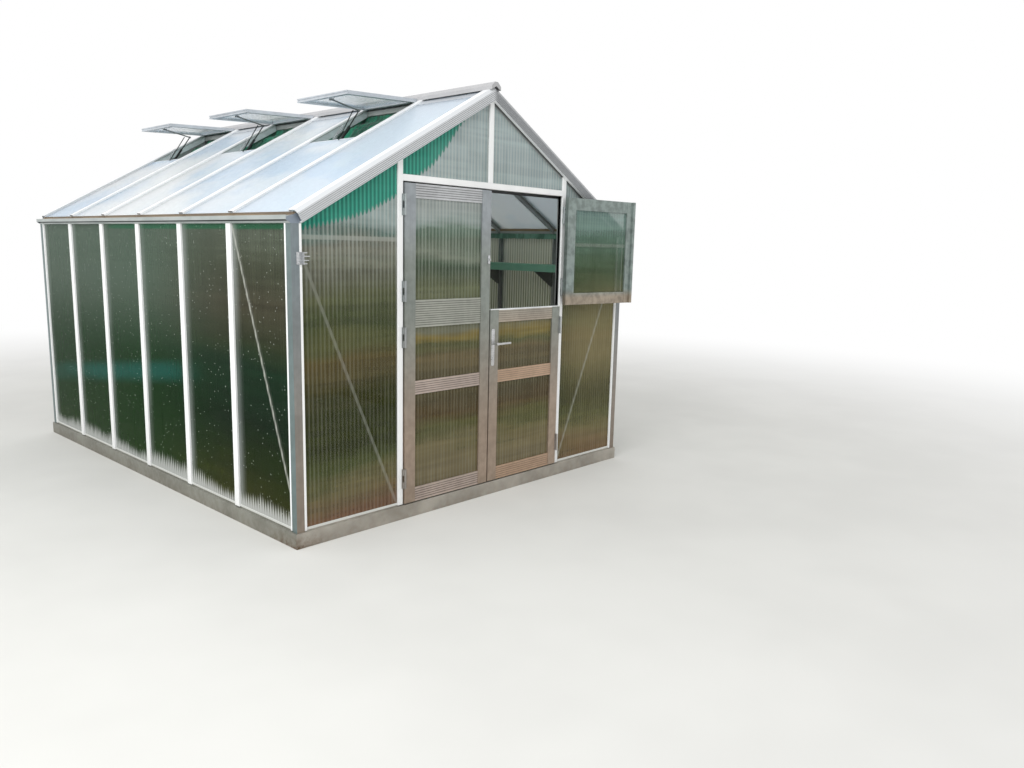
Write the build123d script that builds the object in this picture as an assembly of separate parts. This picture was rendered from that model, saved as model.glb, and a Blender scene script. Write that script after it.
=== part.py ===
from build123d import *
import os
from math import atan2, cos, degrees, radians, sin, tan

# Free-standing gable greenhouse: aluminium bars, twin-wall sheets, white cover strips,
# a double door whose right leaf is split, and raised roof vents.
# X runs across the gable, Y from the door gable to the back, Z up.

# Overall sizes
WIDTH = 2910.0
LENGTH = 3750.0
BAY_PITCH = 610.0
BARS_PER_SIDE = 5
RIDGE_LINE_HEIGHT = 2618.0
EAVE_EDGE_HEIGHT = 1805.0
EAVE_EDGE_INSET = 28.0

# Base rail with its glazing channel
BASE_HEIGHT = 85.0
BASE_DEPTH = 55.0
BASE_WALL = 3.0
CHANNEL_LIP = 20.0
CHANNEL_GAP = 0.5

# Glazing and the layers in a wall, counted inwards from the base rail's face
SHEET = 10.0
FACE_SETBACK = 10.0
STRIP_PROUD = 12.0
STRIP_FOOT_GAP = 5.0
STRIP_WALL = 2.5
SIDE_STRIP_WIDTH = 50.0
GABLE_STRIP_WIDTH = 36.0
EDGE_STRIP_WIDTH = 16.0
SHEET_EDGE_GAP = 1.0
ROOF_SHEET_END = 27.0
EAVE_DRIP = 2.0

# Glazing bar section
BAR_WEB = 5.0
BAR_DEPTH = 34.0
BAR_FLANGE_WIDTH = 36.0
BAR_FLANGE = 3.0
BAR_BEAD_WIDTH = 16.0
BAR_BEAD = 5.0

# Corner post
POST_LEG = 48.0
POST_SKIN = 3.0
POST_TUBE = 25.0

# Eave profile with its gutter
EAVE_BEAM_BOTTOM = 1737.0
EAVE_BEAM_DEPTH = 52.0
EAVE_BEAM_SETBACK = 8.0
EAVE_BEAM_WALL = 4.0
EAVE_LEDGE = 5.0
EAVE_LEDGE_HEIGHT = 7.0
GUTTER_REACH = 16.0
GUTTER_BOTTOM = 1754.0
GUTTER_TOP = 1777.0
GUTTER_WALL = 3.0
END_CAP = 3.0
# The corner's head plate over the post, as (x in from the base rail's side, height) going round
HEAD_PLATE = ((-16.0, 1754.0), (-9.0, 1772.0), (46.0, 1786.0), (61.0, 1784.0), (75.0, 1754.0),
              (58.0, 1737.0), (10.0, 1737.0))

# Verge cover along the gable's slopes
VERGE_REACH = 16.0
VERGE_LAP = 60.0
VERGE_SHOULDER = 24.0
VERGE_FACE_DEPTH = 73.0
VERGE_SKIN = 3.0
VERGE_RIBS = 5
RIB_DEPTH = 1.6
RAFTER_DEPTH = 85.0
RAFTER_WIDTH = 28.0
RAFTER_WALL = 4.0

# Ridge
RIDGE_HALF = 40.0
RIDGE_CAP_SIDE = 22.8
RIDGE_CAP_RISE = 25.0
RIDGE_TOP_HALF = 13.0
RIDGE_BEAM_HALF = 32.0
RIDGE_BEAM_DEPTH = 75.0
RIDGE_BEAM_WALL = 4.0
RIDGE_SEAT = 26.0
RIDGE_CAP_SKIN = 3.0
RIDGE_OVERRUN = 20.0
FLASHING_REACH = 62.0
FLASHING = 3.0

# Doorway and leaves
POST_CENTRE = 730.0
LEAF_WIDTH = 700.0
MEETING_GAP = 10.0
LEAF_THICKNESS = 30.0
LEAF_SHEET_DEPTH = 10.0
LEAF_BOTTOM = 93.0
LEAF_HEAD_GAP = 9.0
LINTEL_DROP = 164.1
LINTEL_HEIGHT = 38.0
STILE = 79.0
RAIL = 82.0
BOTTOM_RAIL = 88.0
LOCK_RAIL_BOTTOM = 757.0
WIDE_RAIL_BOTTOM = 1160.0
WIDE_RAIL = 162.0
SPLIT_HEIGHT = 1246.0
SPLIT_GAP = 6.0
CAP_THICKNESS = 5.0
CAP_LIP = 3.0
RAIL_RIB_PITCH = 13.7
RAIL_SETBACK = 2.0
REBATE_WIDTH = 24.0
REBATE_DEPTH = 12.0
JAMB_WIDTH = 14.0
JAMB_DEPTH = 38.0
JAMB_SETBACK = 4.0

# Hinges
HINGE_FROM_TOP = 123.0
HINGE_OVER_SPLIT = 129.0
HINGE_UNDER_SPLIT = 140.0
HINGE_FROM_FOOT = 157.0
HINGE_LENGTH = 120.0
HINGE_STAND = 8.0
HINGE_INSET = 4.0
KNUCKLE_RADIUS = 6.5
PIN_RADIUS = 3.0
RUNNING_GAP = 0.3
HINGE_PLATE = 4.0
HINGE_PLATE_WIDTH = 5.0
KNUCKLE_CLEARANCE = 1.5

# Door furniture
PLATE_HEIGHT = 242.0
PLATE_WIDTH = 30.0
PLATE_THICKNESS = 4.0
PLATE_CENTRE_HEIGHT = 994.0
LEVER_HEIGHT = 1020.0
LEVER_LENGTH = 118.0
LEVER_RADIUS = 8.0
LEVER_TAPER = 0.85
LEVER_STAND = 44.0
LEVER_INSET = 25.0
BOSS_DEPTH = 6.0
BOSS_WALL = 5.0
CYLINDER_HEIGHT = 919.0
CYLINDER_RADIUS = 8.5
CYLINDER_PROUD = 3.0
LATCH_HEIGHT = 1561.0
LATCH_INSET = 17.0
LATCH_SIZE = (18.0, 52.0, 6.0)
LATCH_KNOB = (10.0, 12.0, 16.0)
CATCH_HEIGHT = 1560.0
CATCH_SIZE = 64.0
CATCH_INSET = 38.0
CATCH_WIDTH = 34.0
CATCH_PLATE = 4.0
CATCH_PROUD = 14.0
# Fingers of the catch: height over its middle, reach past its plate
CATCH_FINGERS = ((29.0, 18.0), (11.0, 33.0), (-10.0, 28.0), (-27.0, 18.0))
CATCH_FINGER = 5.0
FOLDED_ANGLE = 174.5

# Roof vents
VENT_LENGTH = 556.0
VENT_REACH = 565.0
VENT_FRAME = 34.0
VENT_DEPTH = 24.0
VENT_SHEET = 6.0
VENT_SHEET_DEPTH = 8.0
VENT_GROOVE = (13.0, 21.0)
VENT_GROOVE_DEPTH = 4.0
VENT_HINGE_RISE = 8.0
VENT_HINGE_GAP = 3.0
HINGE_BEAD = 6.0
VENT_OPEN_ANGLE = 27.0
CURB_WALL = 4.0
CURB_DEPTH = 40.0
CURB_DROP = 4.0
SILL_WIDTH = 22.0
SILL_LAP = 6.0
OPENER_RADIUS = 9.0
OPENER_ROD_RADIUS = 4.0
OPENER_SPAN = 178.0
OPENER_RISE = 225.0
ARM_REACH = 485.0
ARM_RADIUS = 5.0
ARM_PAD = 12.0

# Inside
BRACE_WIDTH = 20.0
BRACE_THICKNESS = 3.0
BRACE_TOP_DROP = 117.0
BRACE_FOOT_RISE = 105.0
SHELF_DEPTH = 240.0
SHELF_TOP = 1512.0
SHELF_LIP = 56.0
SHELF_SKIN = 4.0
SHELF_RETURN = 14.0
SHELF_END_GAP = 110.0
BRACKET_DROP = 125.0
BRACKET_THICKNESS = 4.0
BRACKET_TIP = 20.0
CLOTH = 4.0
CLOTH_HEM = 42.0
CLOTH_END_GAP = 72.0
# How far the shade cloth hangs below the left slope, at places from the ridge (0) to the wall (1)
CLOTH_HANG = ((0.03, 96), (0.08, 86), (0.16, 100), (0.29, 178), (0.39, 248), (0.55, 276), (0.77, 212))

# Values worked out from the sizes above
HALF_WIDTH = WIDTH / 2
HALF_LENGTH = LENGTH / 2
PITCH = atan2(RIDGE_LINE_HEIGHT - EAVE_EDGE_HEIGHT, HALF_WIDTH - EAVE_EDGE_INSET)
SLOPE_LENGTH = (HALF_WIDTH - EAVE_EDGE_INSET) / cos(PITCH)
SHEET_OUTER = FACE_SETBACK + STRIP_PROUD
SHEET_INNER = SHEET_OUTER + SHEET
WALL_INNER = SHEET_INNER + BAR_DEPTH
BAR_PLACES = [BAY_PITCH * (k - (BARS_PER_SIDE - 1) / 2) for k in range(BARS_PER_SIDE)]
LEAF_EDGE = MEETING_GAP / 2 + LEAF_WIDTH
HINGE_X = LEAF_EDGE + HINGE_INSET
DOOR_JAMB = POST_CENTRE - GABLE_STRIP_WIDTH / 2 + JAMB_SETBACK
CHANNEL_TOP = BASE_HEIGHT + CHANNEL_LIP
CORNER_STRIP = FACE_SETBACK + POST_LEG + EDGE_STRIP_WIDTH / 2

# The folded leaf reaches further out than the back verge, so the walls stand a little
# behind the middle of the whole space.
FOLDED = radians(180 - FOLDED_ANGLE)
LEAF_DEPTH = HINGE_STAND + LEAF_THICKNESS + REBATE_DEPTH
FOLDED_REACH = HINGE_STAND + (HINGE_X - MEETING_GAP / 2) * sin(FOLDED) + LEAF_DEPTH * cos(FOLDED)
CENTRE_Y = (FOLDED_REACH - RIDGE_OVERRUN) / 2
FRONT = CENTRE_Y - HALF_LENGTH
BACK = CENTRE_Y + HALF_LENGTH

# A wall's own frame: x along the wall seen from outside, y inwards, z up.
WALLS = {
    "front": Plane(origin=(0, FRONT, 0), x_dir=(1, 0, 0), z_dir=(0, 0, 1)),
    "back": Plane(origin=(0, BACK, 0), x_dir=(-1, 0, 0), z_dir=(0, 0, 1)),
    "left": Plane(origin=(-HALF_WIDTH, CENTRE_Y, 0), x_dir=(0, -1, 0), z_dir=(0, 0, 1)),
    "right": Plane(origin=(HALF_WIDTH, CENTRE_Y, 0), x_dir=(0, 1, 0), z_dir=(0, 0, 1)),
}
# The doorway ends a set drop under the roof's line at the door posts.
LINTEL_TOP = RIDGE_LINE_HEIGHT - POST_CENTRE * tan(PITCH) - LINTEL_DROP
LINTEL_BOTTOM = LINTEL_TOP - LINTEL_HEIGHT
LEAF_TOP = LINTEL_BOTTOM - LEAF_HEAD_GAP
HINGE_HEIGHTS = (LEAF_TOP - HINGE_FROM_TOP, SPLIT_HEIGHT + HINGE_OVER_SPLIT,
                 SPLIT_HEIGHT - HINGE_UNDER_SPLIT, LEAF_BOTTOM + HINGE_FROM_FOOT)
MID_PLANE = Plane(origin=(0, CENTRE_Y, 0), x_dir=(1, 0, 0), z_dir=(0, 1, 0))
EAVE_POINT = (-HALF_WIDTH + EAVE_EDGE_INSET, EAVE_EDGE_HEIGHT)
BIG = 10 * LENGTH
PAST_RIDGE = SLOPE_LENGTH + RIDGE_BEAM_DEPTH
VENT_BAYS = range(1, BARS_PER_SIDE + 1, 2)
VENT_HINGE = (-RIDGE_HALF - HINGE_BEAD - EAVE_POINT[0] + VENT_HINGE_RISE * sin(PITCH)) / cos(PITCH)
VENT_SILL = VENT_HINGE - VENT_REACH + SILL_LAP
EAVE_BEAM_INNER = -HALF_WIDTH + EAVE_BEAM_SETBACK + EAVE_BEAM_DEPTH


def block(x0, x1, y0, y1, z0, z1):
    """A box between two corners."""
    return Pos((x0 + x1) / 2, (y0 + y1) / 2, (z0 + z1) / 2) * Box(x1 - x0, y1 - y0, z1 - z0)


def prism(points, plane, length):
    """A closed outline on a plane, carried along its normal."""
    return extrude(plane * Polygon(*points, align=None), amount=length, dir=plane.z_dir)


def upright(points, z0, z1):
    """An (x, y) section carried up from z0 to z1."""
    return prism(points, Plane.XY.offset(z0), z1 - z0)


def along_wall(points, x0, x1):
    """A (y, z) section carried along x."""
    return prism(points, Plane(origin=(x0, 0, 0), x_dir=(0, 1, 0), z_dir=(1, 0, 0)), x1 - x0)


def along_length(points, y0, y1):
    """An (x, z) section carried from y0 to y1."""
    return prism(points, Plane(origin=(0, y1, 0), x_dir=(1, 0, 0), z_dir=(0, -1, 0)), y1 - y0)


def on_wall(name, solid):
    """Set a piece made in a wall's own frame into that wall."""
    return WALLS[name].location * solid


def slope_point(s, t):
    """World x and z of a place on the left slope: s up the slope, t out of it."""
    return (EAVE_POINT[0] + s * cos(PITCH) - t * sin(PITCH), EAVE_POINT[1] + s * sin(PITCH) + t * cos(PITCH))


def slope_run(points, s0, s1):
    """A (y, t) section carried up the left slope from s0 to s1."""
    x, z = slope_point(s0, 0)
    plane = Plane(origin=(x, 0, z), x_dir=(0, 1, 0), z_dir=(cos(PITCH), 0, sin(PITCH)))
    return prism(points, plane, s1 - s0)


def slope_slab(s0, s1, t0, t1, y0, y1):
    """A flat board lying in the left slope."""
    corners = [slope_point(s0, t0), slope_point(s1, t0), slope_point(s1, t1), slope_point(s0, t1)]
    return along_length(corners, y0, y1)


def roof_line(x, t=0.0):
    """Height of the left slope's surface, moved out by t, over a place x."""
    return RIDGE_LINE_HEIGHT - abs(x) * tan(PITCH) + t / cos(PITCH)


def short_of(solid, x):
    """Cut a left-slope piece off at the upright plane through x."""
    return solid - block(x, BIG, -BIG, BIG, -BIG, BIG)


def under_roof(solid, t):
    """Cut a gable piece off along both slopes, at t from the roof's surface."""
    peak = RIDGE_LINE_HEIGHT + t / cos(PITCH)
    drop = BIG * tan(PITCH)
    outline = [(-BIG, peak - drop), (0, peak), (BIG, peak - drop), (BIG, peak + BIG), (-BIG, peak + BIG)]
    return solid - along_length(outline, -BIG, BIG)


def mirrored(solids):
    """The same pieces on the other side of the ridge."""
    return [mirror(solid, about=Plane.YZ) for solid in solids]


def front_and_back(solids):
    """The pieces and their twins at the other gable."""
    return solids + [mirror(solid, about=MID_PLANE) for solid in solids]


def save(name, solids):
    """Write one sub-part, made of one or more solids."""
    pieces = [piece for item in solids for piece in item.solids()]
    shape = pieces[0] if len(pieces) == 1 else Compound(children=pieces)
    shape.label = name
    export_step(shape, f"parts/{name}.step")


def cover_strip(width, centre):
    """Section of a white cover strip: a shallow channel with softened corners."""
    outer = Pos(centre, FACE_SETBACK + STRIP_PROUD / 2) * Rectangle(width, STRIP_PROUD)
    outer = fillet(outer.vertices().group_by(Axis.Y)[0], STRIP_WALL)
    inner_depth = STRIP_PROUD - STRIP_WALL
    hollow = Pos(centre, SHEET_OUTER - inner_depth / 2) * Rectangle(width - 2 * STRIP_WALL, inner_depth)
    return outer - hollow


def glazing_bar(centre):
    """Section of a bar: web between two sheets, flange behind them, bead on its inner edge."""
    web = Pos(centre, (SHEET_OUTER + WALL_INNER) / 2) * Rectangle(BAR_WEB, WALL_INNER - SHEET_OUTER)
    flange = Pos(centre, SHEET_INNER + BAR_FLANGE / 2) * Rectangle(BAR_FLANGE_WIDTH, BAR_FLANGE)
    bead = Pos(centre, WALL_INNER - BAR_BEAD / 2) * Rectangle(BAR_BEAD_WIDTH, BAR_BEAD)
    return web + flange + bead


def raise_section(sketch, z0, z1):
    """Carry a section, drawn as x along the wall and y inwards, up from z0 to z1."""
    return extrude(Plane.XY.offset(z0) * sketch, amount=z1 - z0, dir=(0, 0, 1))


def slope_section(sketch, s0, s1):
    """Carry a wall section up the left slope: its y becomes the depth under the roof's surface."""
    x, z = slope_point(s0, FACE_SETBACK)
    plane = Plane(origin=(x, 0, z), x_dir=(0, 1, 0), z_dir=(-cos(PITCH), 0, -sin(PITCH)))
    return extrude(plane * sketch, amount=s1 - s0, dir=-plane.z_dir)


def bay(k, bar_gap, end_gap):
    """World Y where bay k starts and ends, kept off the bars beside it and off the gables."""
    y0 = FRONT + end_gap if k == 0 else CENTRE_Y + BAR_PLACES[k - 1] + bar_gap
    y1 = BACK - end_gap if k == BARS_PER_SIDE else CENTRE_Y + BAR_PLACES[k] - bar_gap
    return y0, y1


def slope_at(x, t):
    """How far up the slope the place x is, at a distance t out of the roof's surface."""
    return (x - EAVE_POINT[0] + t * sin(PITCH)) / cos(PITCH)


def between(marks):
    """The stretches left between covered places, each given as (centre, half width)."""
    pairs = zip(marks, marks[1:])
    return [(c0 + h0 + SHEET_EDGE_GAP, c1 - h1 - SHEET_EDGE_GAP) for (c0, h0), (c1, h1) in pairs]


def base_rail(half_span, channels):
    """C-shaped base rail, mitred at both ends, with glazing channels on the given stretches."""
    section = [(0, 0), (BASE_DEPTH, 0), (BASE_DEPTH, BASE_WALL), (BASE_WALL, BASE_WALL),
               (BASE_WALL, BASE_HEIGHT - BASE_WALL), (BASE_DEPTH, BASE_HEIGHT - BASE_WALL),
               (BASE_DEPTH, BASE_HEIGHT), (0, BASE_HEIGHT)]
    inner = half_span - BASE_DEPTH
    plan = [(-half_span, 0), (half_span, 0), (inner, BASE_DEPTH), (-inner, BASE_DEPTH)]
    rail = along_wall(section, -half_span, half_span) & upright(plan, 0, BASE_HEIGHT)
    lip = BASE_WALL - CHANNEL_GAP
    for x0, x1 in channels:
        for y0 in (SHEET_OUTER - CHANNEL_GAP - lip, SHEET_INNER + CHANNEL_GAP):
            rail += block(x0, x1, y0, y0 + lip, BASE_HEIGHT, CHANNEL_TOP)
    return rail


def make_base():
    """Four base rails; the one under the door has channels in the bays only."""
    side_end = (HALF_LENGTH - CORNER_STRIP, EDGE_STRIP_WIDTH / 2)
    gable_end = (HALF_WIDTH - CORNER_STRIP, EDGE_STRIP_WIDTH / 2)
    bars = [(place, SIDE_STRIP_WIDTH / 2) for place in BAR_PLACES]
    side = between([(-side_end[0], side_end[1])] + bars + [side_end])
    posts = [(place, GABLE_STRIP_WIDTH / 2) for place in (-POST_CENTRE, 0, POST_CENTRE)]
    gable = between([(-gable_end[0], gable_end[1])] + posts + [gable_end])
    save("base_rail_left", [on_wall("left", base_rail(HALF_LENGTH, side))])
    save("base_rail_right", [on_wall("right", base_rail(HALF_LENGTH, side))])
    save("base_rail_front", [on_wall("front", base_rail(HALF_WIDTH, [gable[0], gable[-1]]))])
    save("base_rail_back", [on_wall("back", base_rail(HALF_WIDTH, gable))])


def make_corner_posts():
    """Corner post: an outer angle with turned-in edges, a tube inside it and a seat for each sheet."""
    outer = FACE_SETBACK
    leg = outer + POST_LEG
    core = outer + POST_SKIN
    tube = core + POST_TUBE
    inner = leg - POST_SKIN
    angle = [(outer, outer), (leg, outer), (leg, SHEET_OUTER), (inner, SHEET_OUTER), (inner, core),
             (core, core), (core, inner), (SHEET_OUTER, inner), (SHEET_OUTER, leg), (outer, leg)]
    section = Sketch() + Polygon(*angle, align=None)
    middle = (core + tube) / 2
    section += Pos(middle, middle) * Rectangle(POST_TUBE, POST_TUBE)
    section -= Pos(middle, middle) * Rectangle(POST_TUBE - 2 * POST_SKIN, POST_TUBE - 2 * POST_SKIN)
    seat_middle = (tube + leg) / 2
    seat_depth = SHEET_INNER + BAR_FLANGE / 2
    section += Pos(seat_middle, seat_depth) * Rectangle(leg - tube, BAR_FLANGE)
    section += Pos(seat_depth, seat_middle) * Rectangle(BAR_FLANGE, leg - tube)
    post = raise_section(section, BASE_HEIGHT, EAVE_BEAM_BOTTOM)
    front_left = Pos(-HALF_WIDTH, FRONT, 0) * post
    front_right = mirror(front_left, about=Plane.YZ)
    save("corner_post_front_left", [front_left])
    save("corner_post_front_right", [front_right])
    save("corner_post_back_left", [mirror(front_left, about=MID_PLANE)])
    save("corner_post_back_right", [mirror(front_right, about=MID_PLANE)])


def make_eaves():
    """Eave profile: a hollow beam that seats the roof sheets, a ledge along its foot, the gutter
    outside it, and a head plate at each end that closes gutter and beam over the corner post."""
    left = -HALF_WIDTH
    seat = -STRIP_PROUD - SHEET
    outer, inner = left + EAVE_BEAM_SETBACK, EAVE_BEAM_INNER
    beam = [(outer, EAVE_BEAM_BOTTOM), (inner, EAVE_BEAM_BOTTOM), (inner, roof_line(inner, seat)),
            (outer, roof_line(outer, seat))]
    wall = EAVE_BEAM_WALL
    hollow = [(outer + wall, EAVE_BEAM_BOTTOM + wall), (inner - wall, EAVE_BEAM_BOTTOM + wall),
              (inner - wall, roof_line(inner - wall, seat - wall)),
              (outer + wall, roof_line(outer + wall, seat - wall))]
    low = EAVE_BEAM_BOTTOM + wall
    ledge = [(outer - EAVE_LEDGE, low), (outer, low), (outer, low + EAVE_LEDGE_HEIGHT),
             (outer - EAVE_LEDGE, low + EAVE_LEDGE_HEIGHT)]
    lip, wall = left - GUTTER_REACH, GUTTER_WALL
    gutter = [(outer, GUTTER_BOTTOM), (lip, GUTTER_BOTTOM), (lip, GUTTER_TOP), (lip + wall, GUTTER_TOP),
              (lip + wall, GUTTER_BOTTOM + wall), (outer, GUTTER_BOTTOM + wall)]
    head = [(left + x, z) for x, z in HEAD_PLATE]
    start, end = FRONT + FACE_SETBACK, BACK - FACE_SETBACK
    profile = along_length(beam, start, end) - along_length(hollow, start, end)
    profile += along_length(ledge, start, end) + along_length(gutter, start, end)
    profile += along_length(head, start, start + END_CAP)
    profile += along_length(head, end - END_CAP, end)
    save("eave_gutter_left", [profile])
    save("eave_gutter_right", mirrored([profile]))


def make_ridge():
    """Hollow ridge beam, the folded cap over it, and flashings beside the cap where there is no vent."""
    seat = -STRIP_PROUD - SHEET
    low = RIDGE_LINE_HEIGHT - RIDGE_BEAM_DEPTH
    half, wall = RIDGE_BEAM_HALF, RIDGE_BEAM_WALL
    beam = [(-half, roof_line(half, seat)), (0, roof_line(0, seat)), (half, roof_line(half, seat)),
            (half, low), (-half, low)]
    inner = half - wall
    hollow = [(-inner, roof_line(inner, seat - wall)), (0, roof_line(0, seat - wall)),
              (inner, roof_line(inner, seat - wall)), (inner, low + wall), (-inner, low + wall)]
    span = (FRONT + SHEET_OUTER, BACK - SHEET_OUTER)
    save("ridge_beam", [along_length(beam, *span) - along_length(hollow, *span)])
    skin = RIDGE_CAP_SKIN
    side, top = RIDGE_HALF, RIDGE_TOP_HALF
    foot = roof_line(RIDGE_HALF)
    shoulder = foot + RIDGE_CAP_SIDE
    peak = shoulder + RIDGE_CAP_RISE
    outer = [(-side, foot), (-side, shoulder), (-top, peak), (top, peak), (side, shoulder), (side, foot)]
    side, top, shoulder, peak = side - skin, top - skin / 3, shoulder - skin / 3, peak - skin
    core = [(-side, 0), (-side, shoulder), (-top, peak), (top, peak), (side, shoulder), (side, 0)]
    start, end = FRONT - RIDGE_OVERRUN, BACK + RIDGE_OVERRUN
    cap = along_length(outer, start, end) - along_length(core, start + skin, end - skin)
    save("ridge_cap", [cap - under_cap()])
    flashings = []
    for k in range(BARS_PER_SIDE + 1):
        y0, y1 = bay(k, SIDE_STRIP_WIDTH / 2, VERGE_LAP)
        s1 = slope_at(-RIDGE_HALF, -STRIP_PROUD)
        flashing = slope_slab(s1 - FLASHING_REACH, s1, -STRIP_PROUD, -STRIP_PROUD + FLASHING, y0, y1)
        if k not in VENT_BAYS:
            flashings.append(flashing)
        flashings += mirrored([flashing])
    save("ridge_flashings", flashings)


def under_cap():
    """The space of the roof's covers below the ridge cap: the cap sits on their faces."""
    low = [(-BIG, roof_line(BIG)), (0, RIDGE_LINE_HEIGHT), (BIG, roof_line(BIG))]
    return along_length([(-BIG, -2 * BIG)] + low + [(BIG, -2 * BIG)], -BIG, BIG)


def make_walls():
    """Glazing bars and white strips of both long sides and of both gables."""
    foot = BASE_HEIGHT + STRIP_FOOT_GAP
    bars, strips = [], []
    for side in ("left", "right"):
        for place in BAR_PLACES:
            bars.append(on_wall(side, raise_section(glazing_bar(place), BASE_HEIGHT, EAVE_BEAM_BOTTOM)))
            strip = raise_section(cover_strip(SIDE_STRIP_WIDTH, place), foot, EAVE_BEAM_BOTTOM)
            strips.append(on_wall(side, strip))
        for end in (-1, 1):
            strip = cover_strip(EDGE_STRIP_WIDTH, end * (HALF_LENGTH - CORNER_STRIP))
            strips.append(on_wall(side, raise_section(strip, foot, EAVE_BEAM_BOTTOM)))
    save("wall_bars", bars)
    save("wall_strips", strips)
    beam_low = RIDGE_LINE_HEIGHT - RIDGE_BEAM_DEPTH
    posts, strips = [], []
    for wall in ("front", "back"):
        for side in (-1, 1):
            section = door_post(side) if wall == "front" else glazing_bar(side * POST_CENTRE)
            post = under_roof(raise_section(section, BASE_HEIGHT, RIDGE_LINE_HEIGHT), -RAFTER_DEPTH)
            posts.append(on_wall(wall, post))
            strip = cover_strip(GABLE_STRIP_WIDTH, side * POST_CENTRE)
            strip = under_roof(raise_section(strip, foot, RIDGE_LINE_HEIGHT), -VERGE_FACE_DEPTH)
            strips.append(on_wall(wall, strip))
            corner = cover_strip(EDGE_STRIP_WIDTH, side * (HALF_WIDTH - CORNER_STRIP))
            strips.append(on_wall(wall, raise_section(corner, foot, EAVE_BEAM_BOTTOM)))
        low = LINTEL_TOP if wall == "front" else BASE_HEIGHT
        posts.append(on_wall(wall, raise_section(glazing_bar(0), low, beam_low)))
        low = LINTEL_TOP if wall == "front" else foot
        strip = raise_section(cover_strip(GABLE_STRIP_WIDTH, 0), low, RIDGE_LINE_HEIGHT)
        strips.append(on_wall(wall, under_roof(strip, -VERGE_FACE_DEPTH)))
    save("gable_posts", posts)
    save("gable_strips", strips)


def door_post(side):
    """Section of a door post: jamb tube beside the doorway and a flange behind the bay's sheet."""
    jamb = DOOR_JAMB + JAMB_WIDTH / 2
    wall = 2 * BAR_FLANGE
    tube = Pos(side * jamb, SHEET_OUTER + JAMB_DEPTH / 2) * Rectangle(JAMB_WIDTH, JAMB_DEPTH)
    hollow = Pos(side * jamb, SHEET_OUTER + JAMB_DEPTH / 2) * Rectangle(JAMB_WIDTH - wall, JAMB_DEPTH - wall)
    reach = DOOR_JAMB + JAMB_WIDTH + BAR_FLANGE_WIDTH / 2
    middle = (jamb + reach) / 2
    flange = Pos(side * middle, SHEET_INNER + BAR_FLANGE / 2) * Rectangle(reach - jamb, BAR_FLANGE)
    return tube + flange - hollow


def make_gable_frame():
    """Lintel over the doorway and the rafters behind the verges."""
    reach = POST_CENTRE - GABLE_STRIP_WIDTH / 2
    face = block(-reach, reach, FACE_SETBACK, SHEET_OUTER, LINTEL_BOTTOM, LINTEL_TOP)
    face = fillet(face.edges().filter_by(Axis.X).group_by(Axis.Y)[0], STRIP_WALL)
    tube = block(-DOOR_JAMB, DOOR_JAMB, SHEET_OUTER, SHEET_OUTER + JAMB_DEPTH, LINTEL_BOTTOM, LINTEL_TOP)
    tube -= block(-DOOR_JAMB, DOOR_JAMB, SHEET_OUTER + BASE_WALL, SHEET_OUTER + JAMB_DEPTH - BASE_WALL,
                  LINTEL_BOTTOM + BASE_WALL, LINTEL_TOP - BASE_WALL)
    save("door_lintel", [on_wall("front", face + tube)])
    outer, seat = FRONT + SHEET_OUTER, -STRIP_PROUD - SHEET
    inner, wall = outer + RAFTER_WIDTH, RAFTER_WALL
    rafter = [(outer, -RAFTER_DEPTH), (inner, -RAFTER_DEPTH), (inner, seat), (outer, seat)]
    low, high = -RAFTER_DEPTH + wall, seat - wall
    bore = [(outer + wall, low), (inner - wall, low), (inner - wall, high), (outer + wall, high)]
    piece = slope_run(rafter, 0, PAST_RIDGE) - slope_run(bore, 0, PAST_RIDGE)
    piece = short_of(piece, -RIDGE_BEAM_HALF) - block(-BIG, EAVE_BEAM_INNER, -BIG, BIG, -BIG, BIG)
    rafters = front_and_back([piece])
    save("gable_rafters", rafters + mirrored(rafters))


def make_verges():
    """White verge covers: top plate, shoulder, ribbed face and a turned-in foot."""
    skin = VERGE_SKIN
    face, foot = FRONT - VERGE_REACH, FRONT + FACE_SETBACK - CHANNEL_GAP
    lap = FRONT + VERGE_LAP
    low = -VERGE_FACE_DEPTH
    pitch = (VERGE_FACE_DEPTH - VERGE_SHOULDER) / VERGE_RIBS
    outline = [(lap, 0), (FRONT, 0), (face, -VERGE_SHOULDER)]
    for k in range(VERGE_RIBS):
        start = -VERGE_SHOULDER - pitch * (k + 0.25)
        end = start - pitch * 0.5
        outline += [(face, start), (face + RIB_DEPTH, start), (face + RIB_DEPTH, end), (face, end)]
    outline += [(face, low), (foot, low), (foot, low + skin), (face + skin, low + skin),
                (face + skin, -VERGE_SHOULDER), (FRONT + skin, -skin), (lap - skin, -skin),
                (lap - skin, -STRIP_PROUD), (lap, -STRIP_PROUD)]
    covers = front_and_back([short_of(slope_run(outline, 0, PAST_RIDGE), -RUNNING_GAP / 2)])
    save("verge_covers", covers + mirrored(covers))


def make_roof():
    """Roof bars and their white strips on both slopes."""
    bars, strips = [], []
    for place in BAR_PLACES:
        bar = short_of(slope_section(glazing_bar(CENTRE_Y + place), 0, PAST_RIDGE), -RIDGE_BEAM_HALF)
        bars.append(bar - block(-BIG, EAVE_BEAM_INNER, -BIG, BIG, -BIG, BIG))
        strip = slope_section(cover_strip(SIDE_STRIP_WIDTH, CENTRE_Y + place), 0, PAST_RIDGE)
        strips.append(short_of(strip, -RUNNING_GAP / 2))
    save("roof_bars", bars + mirrored(bars))
    save("roof_strips", strips + mirrored(strips))


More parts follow.
